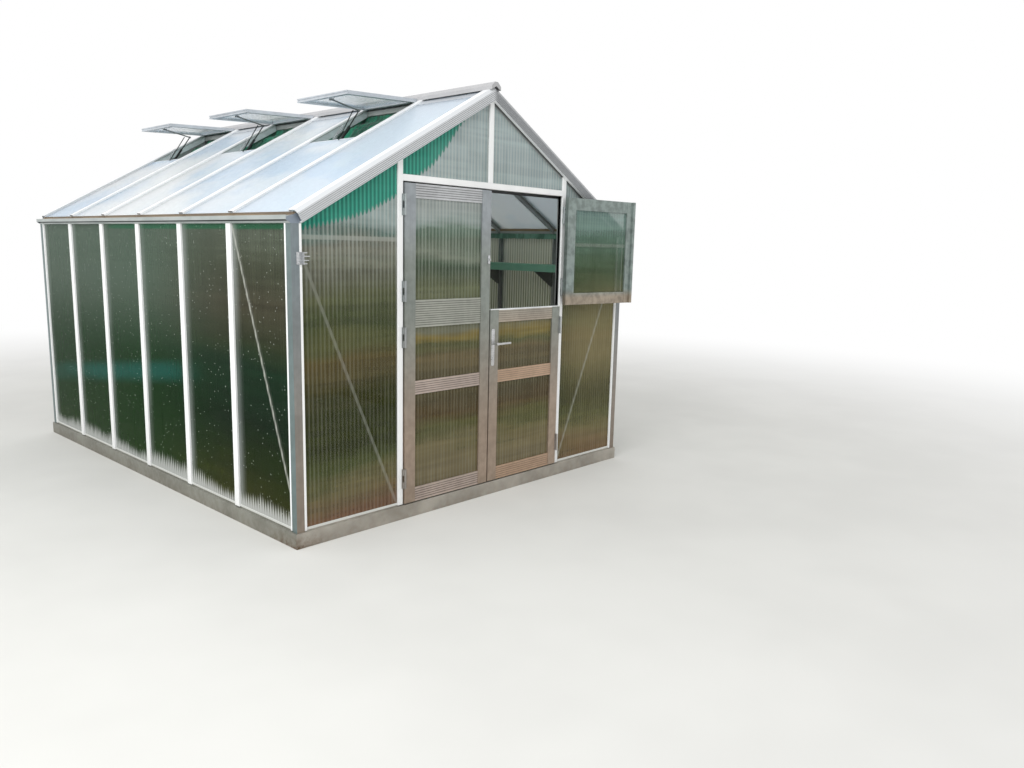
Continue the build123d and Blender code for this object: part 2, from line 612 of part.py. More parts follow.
def make_sheets():
    """Every twin-wall sheet of the walls and the roof, each in its own bay."""
    edge = BAR_WEB / 2 + SHEET_EDGE_GAP
    post_edge = FACE_SETBACK + POST_SKIN + POST_TUBE + SHEET_EDGE_GAP
    side, roof = [], []
    left = -HALF_WIDTH
    peak = RIDGE_BEAM_HALF - RIDGE_SEAT
    for k in range(BARS_PER_SIDE + 1):
        y0, y1 = bay(k, edge, post_edge)
        side.append(block(left + SHEET_OUTER, left + SHEET_INNER, y0, y1, BASE_HEIGHT, EAVE_BEAM_BOTTOM))
        y0, y1 = bay(k, edge, ROOF_SHEET_END)
        top = slope_at(-peak, -SHEET_OUTER)
        full = slope_slab(EAVE_DRIP, top, -STRIP_PROUD - SHEET, -STRIP_PROUD, y0, y1)
        roof += mirrored([full])
        if k in VENT_BAYS:
            top = VENT_SILL - SHEET_EDGE_GAP / 2
            roof.append(slope_slab(EAVE_DRIP, top, -STRIP_PROUD - SHEET, -STRIP_PROUD, y0, y1))
        else:
            roof.append(full)
    save("side_panes", side + mirrored(side))
    save("roof_panes", roof)
    outer = HALF_WIDTH - post_edge
    door_edge = DOOR_JAMB + JAMB_WIDTH + SHEET_EDGE_GAP
    front = [(door_edge, outer, BASE_HEIGHT), (edge, DOOR_JAMB - SHEET_EDGE_GAP, LINTEL_TOP)]
    back = [(POST_CENTRE + edge, outer, BASE_HEIGHT), (edge, POST_CENTRE - edge, BASE_HEIGHT)]
    panes = []
    for wall, fields in (("front", front), ("back", back)):
        for x0, x1, low in fields:
            for a, b in ((x0, x1), (-x1, -x0)):
                pane = block(a, b, SHEET_OUTER, SHEET_INNER, low, RIDGE_LINE_HEIGHT)
                panes.append(on_wall(wall, under_roof(pane, -RAFTER_DEPTH)))
    save("gable_panes", panes)


def raised(solid):
    """Turn a vent piece about the hinge line beside the ridge cap, from shut to raised."""
    x, z = slope_point(VENT_HINGE, VENT_HINGE_RISE)
    return Pos(x, 0, z) * Rot(0, VENT_OPEN_ANGLE, 0) * Pos(-x, 0, -z) * solid


def rod(start, end, y, radius):
    """A round rod across the roof space at one Y, from one (x, z) place to another."""
    dx, dz = end[0] - start[0], end[1] - start[1]
    plane = Plane(origin=(start[0], y, start[1]), x_dir=(0, 1, 0), z_dir=(dx, 0, dz))
    return extrude(plane * Circle(radius), amount=(dx * dx + dz * dz) ** 0.5, dir=plane.z_dir)


def make_vents():
    """Raised vents on the left slope: framed sheet, curb round the opening, sill and opener."""
    foot, head = VENT_HINGE - VENT_REACH, VENT_HINGE - VENT_HINGE_GAP
    top = VENT_HINGE_RISE + VENT_DEPTH / 4
    low = top - VENT_DEPTH
    slot = VENT_DEPTH / 3
    frames, sheets, curbs, openers = [], [], [], []
    for k in VENT_BAYS:
        y0, y1 = bay(k, SIDE_STRIP_WIDTH / 2, VERGE_LAP)
        middle = (y0 + y1) / 2
        a, b = middle - VENT_LENGTH / 2, middle + VENT_LENGTH / 2
        frame = slope_slab(foot, head, low, top, a, b)
        frame -= slope_slab(foot + VENT_FRAME, head - VENT_FRAME, low, top, a + VENT_FRAME, b - VENT_FRAME)
        frame -= slope_slab(foot, foot + CURB_WALL, low + slot, top - slot, a, b)
        frame -= slope_slab(foot + VENT_GROOVE[0], foot + VENT_GROOVE[1], low, low + VENT_GROOVE_DEPTH,
                            a + VENT_FRAME / 2, b - VENT_FRAME / 2)
        x, z = slope_point(VENT_HINGE, VENT_HINGE_RISE)
        axle = Plane(origin=(x, a, z), x_dir=(1, 0, 0), z_dir=(0, 1, 0))
        frame += extrude(axle * Circle(HINGE_BEAD), amount=b - a, dir=(0, 1, 0))
        frames.append(raised(frame))
        seat = low + VENT_SHEET_DEPTH
        sheet = slope_slab(foot + VENT_FRAME, head - VENT_FRAME, seat, seat + VENT_SHEET,
                           a + VENT_FRAME, b - VENT_FRAME)
        sheets.append(raised(sheet))
        y0, y1 = bay(k, BAR_FLANGE_WIDTH / 2, SHEET_OUTER + RAFTER_WIDTH)
        curb_top = -STRIP_PROUD - CURB_DROP
        curb_low = curb_top - CURB_DEPTH
        ring = slope_slab(VENT_SILL, PAST_RIDGE, curb_low, curb_top, y0, y1)
        y0, y1 = y0 + CURB_WALL, y1 - CURB_WALL
        ring -= slope_slab(VENT_SILL + SILL_WIDTH, PAST_RIDGE, curb_low, curb_top, y0, y1)
        curbs.append(short_of(ring, -RIDGE_BEAM_HALF))
        openers.append(vent_opener(middle, seat) - curbs[-1])
    save("vent_frames", frames)
    save("vent_panes", sheets)
    save("vent_curbs", curbs)
    save("vent_openers", openers)


def vent_opener(y, under):
    """Opener: foot on the sill, cylinder, thin rod up to the knee, and the arm from the knee to a
    pad under the raised vent's sheet, whose lower face is at the depth under."""
    sill = slope_point(VENT_SILL + SILL_WIDTH, -STRIP_PROUD - CURB_DROP - CURB_DEPTH / 2)
    knee = (sill[0] + OPENER_SPAN, sill[1] + OPENER_RISE)
    half = OPENER_RADIUS
    foot = block(sill[0], sill[0] + 3 * half, y - half, y + half, sill[1] - half, sill[1] + half)
    heel = (sill[0] + 2 * half, sill[1])
    middle = ((heel[0] + knee[0]) / 2, (heel[1] + knee[1]) / 2)
    opener = foot + rod(heel, middle, y, half) + rod(middle, knee, y, OPENER_ROD_RADIUS)
    place, size = VENT_HINGE - ARM_REACH, ARM_PAD
    pad = raised(slope_slab(place - size, place + size, under - size, under, y - size, y + size))
    joint = pad.center()
    eye = Pos(knee[0], y, knee[1]) * Sphere(half)
    return opener + pad + eye + rod((joint.X, joint.Z), knee, y, ARM_RADIUS)


def leaf(z0, z1, rails):
    """A door leaf that hangs on the right: two hollow stiles, ribbed rails and the sheets between."""
    a, b = MEETING_GAP / 2, LEAF_EDGE
    wall = BASE_WALL
    stiles = []
    for x0 in (a, b - STILE):
        stile = block(x0, x0 + STILE, 0, LEAF_THICKNESS, z0, z1)
        stile -= block(x0 + wall, x0 + STILE - wall, wall, LEAF_THICKNESS - wall, z0, z1 - wall)
        stiles.append(stile)
    x0, x1 = a + STILE, b - STILE
    bars, sheets = [], []
    for low, high in rails:
        bars.append(ribbed_rail(x0, x1, low, high))
    for (_, low), (high, _) in zip(rails, rails[1:]):
        sheets.append(block(x0, x1, LEAF_SHEET_DEPTH, LEAF_SHEET_DEPTH + SHEET, low, high))
    return stiles, bars, sheets


def ribbed_rail(x0, x1, low, high):
    """A rail with fine grooves along its outer face and a hollow behind them."""
    face, back = RAIL_SETBACK, LEAF_THICKNESS - RAIL_SETBACK
    count = round((high - low) / RAIL_RIB_PITCH) - 1
    pitch = (high - low) / (count + 1)
    outline = [(face, low)]
    for k in range(count):
        groove = low + pitch * (k + 1)
        half = pitch * 0.18
        outline += [(face, groove - half), (face + RIB_DEPTH, groove - half),
                    (face + RIB_DEPTH, groove + half), (face, groove + half)]
    outline += [(face, high), (back, high), (back, low)]
    rail = along_wall(outline, x0, x1)
    wall = BASE_WALL + RIB_DEPTH
    return rail - block(x0, x1, face + wall, back - BASE_WALL, low + BASE_WALL, high - BASE_WALL)


def hinge(height):
    """The leaf's half and the post's half of one hinge on the right jamb; the pin is the post's."""
    low, high = height - HINGE_LENGTH / 2, height + HINGE_LENGTH / 2
    third = HINGE_LENGTH / 3
    inner_low, inner_high = low + third + RUNNING_GAP, high - third - RUNNING_GAP
    post_face, plate = FACE_SETBACK, HINGE_PLATE
    clear = KNUCKLE_RADIUS + KNUCKLE_CLEARANCE
    moving = block(HINGE_X - clear - HINGE_PLATE_WIDTH, HINGE_X - clear, -plate, 0, low, high)
    moving += block(HINGE_X - clear, HINGE_X - KNUCKLE_RADIUS / 2, -plate, 0, inner_low, inner_high)
    knuckle = Pos(HINGE_X, -HINGE_STAND, inner_low)
    size = (Align.CENTER, Align.CENTER, Align.MIN)
    moving += knuckle * Cylinder(KNUCKLE_RADIUS, inner_high - inner_low, align=size)
    moving -= knuckle * Cylinder(PIN_RADIUS + RUNNING_GAP, inner_high - inner_low, align=size)
    inner = HINGE_X + clear
    fixed = block(inner, inner + HINGE_PLATE_WIDTH, post_face - plate, post_face, low, high)
    for z0, z1 in ((low, low + third), (high - third, high)):
        fixed += Pos(HINGE_X, -HINGE_STAND, z0) * Cylinder(KNUCKLE_RADIUS, z1 - z0, align=size)
        web = [(HINGE_X, -HINGE_STAND - plate / 2), (HINGE_X + KNUCKLE_RADIUS - 1, -HINGE_STAND),
               (HINGE_X + clear + 1, post_face - plate), (HINGE_X + clear + 1, post_face),
               (HINGE_X + clear - 3, post_face), (HINGE_X + 1, -HINGE_STAND + plate)]
        fixed += upright(web, z0, z1)
    fixed += Pos(HINGE_X, -HINGE_STAND, low) * Cylinder(PIN_RADIUS, HINGE_LENGTH, align=size)
    return moving, fixed


def flipped(solids):
    """The same pieces for the leaf that hangs on the left, in the front wall's own frame."""
    return [mirror(solid, about=Plane.YZ) for solid in solids]


def folded(solids):
    """Swing closed pieces of the right leaf out about its hinge line, back against the gable."""
    turn = Pos(HINGE_X, -HINGE_STAND, 0) * Rot(0, 0, FOLDED_ANGLE) * Pos(-HINGE_X, HINGE_STAND, 0)
    return [turn * solid for solid in solids]


def make_doors():
    """Left leaf in one height; right leaf split into a shut lower half and an open upper half."""
    hinges = [hinge(height) for height in HINGE_HEIGHTS]
    wide = (WIDE_RAIL_BOTTOM, WIDE_RAIL_BOTTOM + WIDE_RAIL)
    lock = (LOCK_RAIL_BOTTOM, LOCK_RAIL_BOTTOM + RAIL)
    foot, head = (LEAF_BOTTOM, LEAF_BOTTOM + BOTTOM_RAIL), (LEAF_TOP - RAIL, LEAF_TOP)
    stiles, rails, sheets = leaf(LEAF_BOTTOM, LEAF_TOP, [foot, lock, wide, head])
    save_front("left_leaf_stiles", flipped(stiles))
    save_front("left_leaf_rails", flipped(rails))
    save_front("left_leaf_panes", flipped(sheets))
    save_front("left_leaf_hinges", flipped([moving for moving, _ in hinges]))

    lower_top = SPLIT_HEIGHT - SPLIT_GAP / 2 - CAP_THICKNESS
    stiles, rails, sheets = leaf(LEAF_BOTTOM, lower_top, [foot, lock, (lower_top - RAIL, lower_top)])
    cap_top = lower_top + CAP_THICKNESS
    rails.append(block(MEETING_GAP / 2, LEAF_EDGE, -CAP_LIP, LEAF_THICKNESS, lower_top, cap_top))
    stiles.append(meeting_rib(LEAF_BOTTOM, lower_top))
    save_front("lower_leaf_stiles", stiles)
    save_front("lower_leaf_rails", rails)
    save_front("lower_leaf_panes", sheets)
    save_front("lower_leaf_hinges", [moving for moving, _ in hinges[2:]])

    upper_low = SPLIT_HEIGHT + SPLIT_GAP / 2
    stiles, rails, sheets = leaf(upper_low, LEAF_TOP, [(upper_low, upper_low + RAIL), head])
    stiles.append(meeting_rib(upper_low, LEAF_TOP))
    save_front("upper_leaf_stiles", folded(stiles))
    save_front("upper_leaf_rails", folded(rails))
    save_front("upper_leaf_panes", folded(sheets))
    save_front("upper_leaf_hinges", folded([moving for moving, _ in hinges[:2]]))
    fixed = [post for _, post in hinges]
    save_front("post_hinges", fixed + flipped(fixed))


def meeting_rib(z0, z1):
    """The rib on the inner face of a right leaf's meeting stile."""
    a = MEETING_GAP / 2
    return block(a, a + REBATE_WIDTH, LEAF_THICKNESS, LEAF_THICKNESS + REBATE_DEPTH, z0, z1)


def save_front(name, solids):
    """Write a sub-part made in the front wall's own frame."""
    save(name, [on_wall("front", solid) for solid in solids])


def make_furniture():
    """Lock plate with its boss and cylinder, sprung lever, latch and the hold-open catch."""
    hub = MEETING_GAP / 2 + LEVER_INSET
    low = PLATE_CENTRE_HEIGHT - PLATE_HEIGHT / 2
    plate = block(hub - PLATE_WIDTH / 2, hub + PLATE_WIDTH / 2, -PLATE_THICKNESS, 0, low, low + PLATE_HEIGHT)
    plate = fillet(plate.edges().filter_by(Axis.Y), PLATE_WIDTH / 3)
    outward = Plane(origin=(hub, -PLATE_THICKNESS, LEVER_HEIGHT), x_dir=(1, 0, 0), z_dir=(0, -1, 0))
    boss = extrude(outward * Circle(LEVER_RADIUS + BOSS_WALL), amount=BOSS_DEPTH, dir=(0, -1, 0))
    bore = extrude(outward * Circle(LEVER_RADIUS + RUNNING_GAP), amount=BOSS_DEPTH, dir=(0, -1, 0))
    keyway = Plane(origin=(hub, 0, CYLINDER_HEIGHT), x_dir=(1, 0, 0), z_dir=(0, -1, 0))
    out = PLATE_THICKNESS + CYLINDER_PROUD
    cylinder = extrude(keyway * Circle(CYLINDER_RADIUS), amount=out, dir=(0, -1, 0))
    save_front("lock_plate", [plate + (boss - bore) + cylinder])
    out = PLATE_THICKNESS + RUNNING_GAP
    start = Plane(origin=(hub, -out, LEVER_HEIGHT), x_dir=(1, 0, 0), z_dir=(0, -1, 0))
    spindle = extrude(start * Circle(LEVER_RADIUS), amount=LEVER_STAND, dir=(0, -1, 0))
    grip_back = out + LEVER_STAND - LEVER_RADIUS
    across = Plane(origin=(hub, -grip_back, LEVER_HEIGHT), x_dir=(1, 0, 0), z_dir=(0, -1, 0))
    tip = LEVER_RADIUS * LEVER_TAPER
    blade = Circle(LEVER_RADIUS / LEVER_TAPER) + Pos(LEVER_LENGTH / 2, 0) * Rectangle(LEVER_LENGTH, 2 * tip)
    blade += Pos(LEVER_LENGTH, 0) * Circle(tip)
    grip = extrude(across * blade, amount=2 * tip, dir=(0, -1, 0))
    grip = chamfer(grip.faces().sort_by(Axis.Y)[0].edges(), LEVER_RADIUS / 4)
    save_front("lever_handle", [spindle + grip])
    middle = -MEETING_GAP / 2 - LATCH_INSET
    parts = []
    for (width, height, out), depth in ((LATCH_SIZE, 0), (LATCH_KNOB, -LATCH_SIZE[2])):
        parts.append(block(middle - width / 2, middle + width / 2, -out, depth, LATCH_HEIGHT - height / 2,
                           LATCH_HEIGHT + height / 2))
    save_front("leaf_latch", [parts[0] + parts[1]])
    outer = -HALF_WIDTH + CATCH_INSET
    edge = outer + CATCH_WIDTH
    low, high = CATCH_HEIGHT - CATCH_SIZE / 2, CATCH_HEIGHT + CATCH_SIZE / 2
    body = block(outer, edge, FACE_SETBACK - CATCH_PLATE, FACE_SETBACK, low, high)
    body += block(edge - CATCH_PLATE, edge, -CATCH_PROUD, FACE_SETBACK, low, high)
    half, back = CATCH_FINGER / 2, -CATCH_PROUD + CATCH_FINGER
    for rise, reach in CATCH_FINGERS:
        z = CATCH_HEIGHT + rise
        body += block(edge - CATCH_PLATE, edge + reach, -CATCH_PROUD, back, z - half, z + half)
    save_front("door_catch", [body])


def brace(start, end):
    """A flat diagonal bar just inside the sheets of a wall, between two (x, z) places."""
    dx, dz = end[0] - start[0], end[1] - start[1]
    length = (dx * dx + dz * dz) ** 0.5
    depth = SHEET_INNER + BAR_FLANGE
    bar = block(0, length, depth, depth + BRACE_THICKNESS, -BRACE_WIDTH / 2, BRACE_WIDTH / 2)
    return Pos(start[0], 0, start[1]) * Rot(0, -degrees(atan2(dz, dx)), 0) * bar


def make_inside():
    """Diagonal braces, the right-hand shelf on its brackets, and the cloths."""
    braces = []
    for wall in ("front", "back"):
        across = brace((HALF_WIDTH - POST_LEG, EAVE_BEAM_BOTTOM - BRACE_TOP_DROP),
                       (POST_CENTRE + BRACE_WIDTH, BASE_HEIGHT + BRACE_FOOT_RISE))
        braces += [on_wall(wall, across), on_wall(wall, mirror(across, about=Plane.YZ))]
    corner = (HALF_LENGTH - POST_LEG, BASE_HEIGHT + BRACE_WIDTH)
    side = brace((BAR_PLACES[-1] + BAR_BEAD_WIDTH, EAVE_BEAM_BOTTOM - BRACE_WIDTH), corner)
    left = on_wall("left", side)
    braces += [left] + mirrored([left])
    save("bracing_bars", braces)

    wall_face = HALF_WIDTH - WALL_INNER
    front_edge = wall_face - SHELF_DEPTH
    y0, y1 = FRONT + SHELF_END_GAP, BACK - SHELF_END_GAP
    skin = SHELF_SKIN
    section = [(wall_face, SHELF_TOP), (front_edge, SHELF_TOP), (front_edge, SHELF_TOP - SHELF_LIP),
               (front_edge + SHELF_RETURN, SHELF_TOP - SHELF_LIP),
               (front_edge + SHELF_RETURN, SHELF_TOP - SHELF_LIP + skin),
               (front_edge + skin, SHELF_TOP - SHELF_LIP + skin), (front_edge + skin, SHELF_TOP - skin),
               (wall_face, SHELF_TOP - skin)]
    save("shelf_board", [along_length(section, y0, y1)])
    low = SHELF_TOP - SHELF_LIP - BRACKET_DROP
    behind = front_edge + SHELF_RETURN + RUNNING_GAP
    plate = [(wall_face, SHELF_TOP - skin), (behind, SHELF_TOP - skin), (behind, SHELF_TOP - SHELF_LIP),
             (wall_face - BRACKET_TIP, low), (wall_face, low)]
    brackets = []
    for place in BAR_PLACES:
        middle = CENTRE_Y + place
        brackets.append(along_length(plate, middle - BRACKET_THICKNESS / 2, middle + BRACKET_THICKNESS / 2))
    save("shelf_brackets", brackets)
    low = EAVE_BEAM_BOTTOM - CLOTH_HEM / 2
    save("eave_cloth", [block(wall_face - CLOTH, wall_face, FRONT + CLOTH_END_GAP, BACK - CLOTH_END_GAP,
                              low, low + CLOTH_HEM)])
    line = [(-RIDGE_BEAM_HALF / 2, RIDGE_LINE_HEIGHT - RIDGE_BEAM_DEPTH)]
    line += [(-wall_face * place, roof_line(wall_face * place) - drop) for place, drop in CLOTH_HANG]
    line.append((-wall_face, EAVE_BEAM_BOTTOM - BRACE_WIDTH))
    upper = [Vector(x, 0, z) for x, z in line]
    lower = [Vector(x, 0, z - CLOTH) for x, z in reversed(line)]
    outline = [Spline(*upper), Line(upper[-1], lower[0]), Spline(*lower), Line(lower[-1], upper[0])]
    hang = Pos(0, FRONT + CLOTH_END_GAP, 0) * make_face(outline)
    cloth = extrude(hang, amount=LENGTH - 2 * CLOTH_END_GAP, dir=(0, 1, 0))
    save("shade_cloth", [cloth])


os.makedirs("parts", exist_ok=True)
make_base()
make_corner_posts()
make_eaves()
make_ridge()
make_walls()
make_gable_frame()
make_verges()
make_roof()
make_sheets()
make_vents()
make_doors()
make_furniture()
make_inside()
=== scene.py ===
"""Looks of the glass greenhouse: finishes for every CAD node, the hung cloths, seals, springs and
screws, with the camera at the photograph's own viewing angle. All sizes are in metres."""

import bpy
import numpy as np
from mathutils import Matrix, Vector


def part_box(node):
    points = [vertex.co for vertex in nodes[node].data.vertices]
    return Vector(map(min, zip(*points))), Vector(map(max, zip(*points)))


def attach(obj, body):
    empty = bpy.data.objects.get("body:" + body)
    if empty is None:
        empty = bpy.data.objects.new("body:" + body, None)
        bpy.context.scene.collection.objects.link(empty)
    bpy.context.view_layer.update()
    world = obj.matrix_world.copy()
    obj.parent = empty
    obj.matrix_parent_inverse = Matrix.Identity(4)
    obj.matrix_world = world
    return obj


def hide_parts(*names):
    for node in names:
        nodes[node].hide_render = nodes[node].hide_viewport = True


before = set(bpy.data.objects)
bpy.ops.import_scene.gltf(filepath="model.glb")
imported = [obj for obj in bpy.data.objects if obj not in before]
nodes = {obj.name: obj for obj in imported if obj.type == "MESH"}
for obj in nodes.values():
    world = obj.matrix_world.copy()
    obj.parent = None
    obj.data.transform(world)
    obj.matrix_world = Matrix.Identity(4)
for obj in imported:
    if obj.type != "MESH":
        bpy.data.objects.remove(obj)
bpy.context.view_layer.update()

# The house, as the part's source has it, with the faces and edges where its tones change.
FRONT = -1.8224
BACK = 1.9276
MIDDLE = 0.0526
BAY_PITCH = 0.610
RIDGE_LINE = 2.618
SLOPE = 0.5697
BASE_TOP = 0.085
EAVE_BOTTOM = 1.737
WALL_FACE = 1.389
DOOR_JAMB = 0.716
LINTEL = 2.000
LEAF_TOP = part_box("lower_leaf_rails")[1][2]
LEAF_BACK = FRONT + 0.030
FLANGE_DEPTH = 0.017
VERGE_FACE = FRONT - 0.0155
VERGE_GROOVE = (0.0, 0.0008, 0.002, 0.0026)
RAIL_FACE = FRONT + 0.0025
RAIL_GROOVE = (0.0, 0.0008, 0.003, 0.004)
CAP_HEIGHT = 0.008
CAP_EDGE = 0.001
GUTTER_LIP = 1.777
LEDGE_TOP = 1.748
SLOT_SHADE_BAND = (LEDGE_TOP, LEDGE_TOP + 0.0008, LEDGE_TOP + 0.0062, LEDGE_TOP + 0.007)
GUTTER_RUN = (FRONT + 0.014, FRONT + 0.017, BACK - 0.017, BACK - 0.014)
BEAD_SHOWS = (BASE_TOP + 0.004, BASE_TOP + 0.007)
SHEET_FOOT = 1.7955
SILT_DEPTH = 0.0006

# The cloth under the left slope: place between ridge and eave and drop below the slope, then its
# two edges, the depth of its folds at the beam and how much deeper they get, and its hem.
CLOTH_HANG = ((0.03, 0.096), (0.08, 0.086), (0.16, 0.100), (0.29, 0.178), (0.39, 0.248),
              (0.55, 0.276), (0.77, 0.212))
CLOTH_EDGE = EAVE_BOTTOM - 0.021
CLOTH_HEAD = (-0.016, RIDGE_LINE - 0.077)
CLOTH_FOOT = (-WALL_FACE + 0.002, CLOTH_EDGE)
CLOTH_ENDS = (FRONT + 0.075, BACK - 0.075)
CLOTH_THICKNESS = 0.0016
FOLD_DEPTH = 0.005
FOLD_SWING = 0.024
HEM_DROP = 0.016
WEAVE_PITCH = 0.004

# The cloth's edge along the right eave: its gap to the wall, its width and its waves.
STRIP_GAP = 0.0012
STRIP_WIDTH = 0.042
STRIP_WAVE = 0.0022
STRIP_HEM = 0.003

# The sheets. A pair is where a tone comes in along its axis, and is full.
FLUTE_PITCH = 0.027
SHEET_SHADE = 0.45
LINES_RISE = (1.2, 1.9)
COVER_CHANGE = (1.1, 1.85)
DROP_CELL = 0.032
FAR_HEIGHT = (0.8, 1.45)
FAR_ALONG = (-1.3, 0.2)
HEM_HEIGHT = (1.70, 1.712)
HEM_ALONG = (0.7, 0.4)
REFLECTION_FALL = 0.12
REFLECTION_BAND = (0.65, 0.75, 0.77, 0.86)
REFLECTION_ALONG = (-0.9, -0.2)
BACKLIT_HEIGHT = (1.2, 1.7)
WARM_HEAD = (1.7, 1.5)
WARM_FOOT = (0.55, 0.85)
WARM_ACROSS = (0.5, 1.1)
FROST_HEIGHT = 0.075
FROST_FOOT = BASE_TOP + 0.02
FROST_EDGE = (-0.01, 0.06)

# The shade cloth as a gable sheet shows it: how far to the side it is seen, its teeth, and its drop
# below the slope at each place between ridge and eave.
CLOTH_BESIDE = 0.05
CLOTH_TEETH = 0.03
CLOTH_SEEN = ((0.0, 0.04), (0.06, 0.07), (0.11, 0.098), (0.16, 0.130), (0.23, 0.20), (0.31, 0.25),
              (0.37, 0.255), (0.5, 0.29), (0.65, 0.272), (0.75, 0.236), (0.85, 0.19), (0.95, 0.14),
              (1.0, 0.125))

# Bars that touch the inner face of a sheet and so show through it: (place along the wall, height)
# at both ends, half of the bar's width, and how clearly it shows.
SIDE_BRACE = ((-1.2172, 1.6617), (-1.7148, 0.3534), 0.006, 0.7)
GABLE_BRACE = ((-1.3609, 1.5343), (-0.7805, 0.1707), 0.006, 0.26)
RIGHT_BRACE = ((1.3609, 1.5343), (0.7805, 0.1707), 0.006, 0.45)
CROSSBAR = ((-1.5, 1.670), (1.5, 1.670), 0.008, 0.45)

# Small pieces: vent middles along the house, each opener's heel and knee from its sill, its spring
# and stay (ends from knee and sill), the crossbar behind the front sheets, the seals, and the screws
# that show. A row of screws is its X, how far it lies behind the front, and the heights.
VENT_MIDDLES = (-0.8624, 0.3576, 1.5826)
SILL_HEIGHT = 0.009
OPENER_HEEL = (0.018, 0, 0)
OPENER_KNEE = (0.178, 0, 0.225)
SPRING_RADIUS = 0.0115
SPRING_WIRE = 0.0013
SPRING_TURNS = 14
SPRING_PART = (0.05, 0.5)
STAY_HEAD = (0, -0.006, -0.004)
STAY_FOOT = (0.006, -0.08, 0.004)
STAY_RADIUS = 0.0035
CROSSBAR_ENDS = (0.748, 1.372)
CROSSBAR_PLACE = FRONT + 0.041
CROSSBAR_DEPTH = 0.006
SEAL_LIP = ((0.0, 0.0), (0.004, -0.001), (0.015, 0.002), (0.018, 0.006), (0.015, 0.009),
            (0.006, 0.007), (0.004, 0.018), (0.0, 0.018))
SEAL_GAP = 0.003
SEAL_FOOT = BASE_TOP + 0.03
SEAL_HEAD = LINTEL - 0.001
LINTEL_SEAL = 0.7
SCREW = ((0.0001, 0.0012), (0.0011, 0.0013), (0.0015, 0.0026), (0.0030, 0.0024), (0.0042, 0.0012),
         (0.0045, -0.0004), (0.0001, -0.0004))
TURNED_SIDES = 16
CATCH_SCREWS = (-1.402, 0.006, (1.5819, 1.5362))
HINGE_SCREWS = (0.741, 0.010, (1.913, 1.874, 1.415, 1.380))

# The floor's radius and where it fades to white, and the lamp's place, aim, size and watts.
FLOOR_RADIUS = 60
FLOOR_DEPTH = 0.001
FLOOR_FADE = (3.2, 11.0)
LAMP_PLACE = (-7.0, -3.5, 5.5)
LAMP_AIM = (0, 0, 0.8)
LAMP_SIZE = (7, 5)
LAMP_WATTS = 430

# The photograph's camera: place, view and focal length in pixels of a 1024-pixel frame.
CAMERA_PLACE = (-3.7237, -5.4732, 1.6410)
CAMERA_YAW = -47.2539
CAMERA_PITCH = -9.6113
CAMERA_ROLL = 1.3794
FOCAL_PIXELS = 806.13
FRAME_WIDTH = 1024
SENSOR = 36.0
FAR_CLIP = 200


def shade(red, green, blue):
    """An sRGB colour, 0 to 255, as the linear values that a shader takes."""
    parts = np.array([red, green, blue]) / 255
    linear = np.where(parts <= 0.04045, parts / 12.92, ((parts + 0.055) / 1.055) ** 2.4)
    return (*linear.tolist(), 1.0)


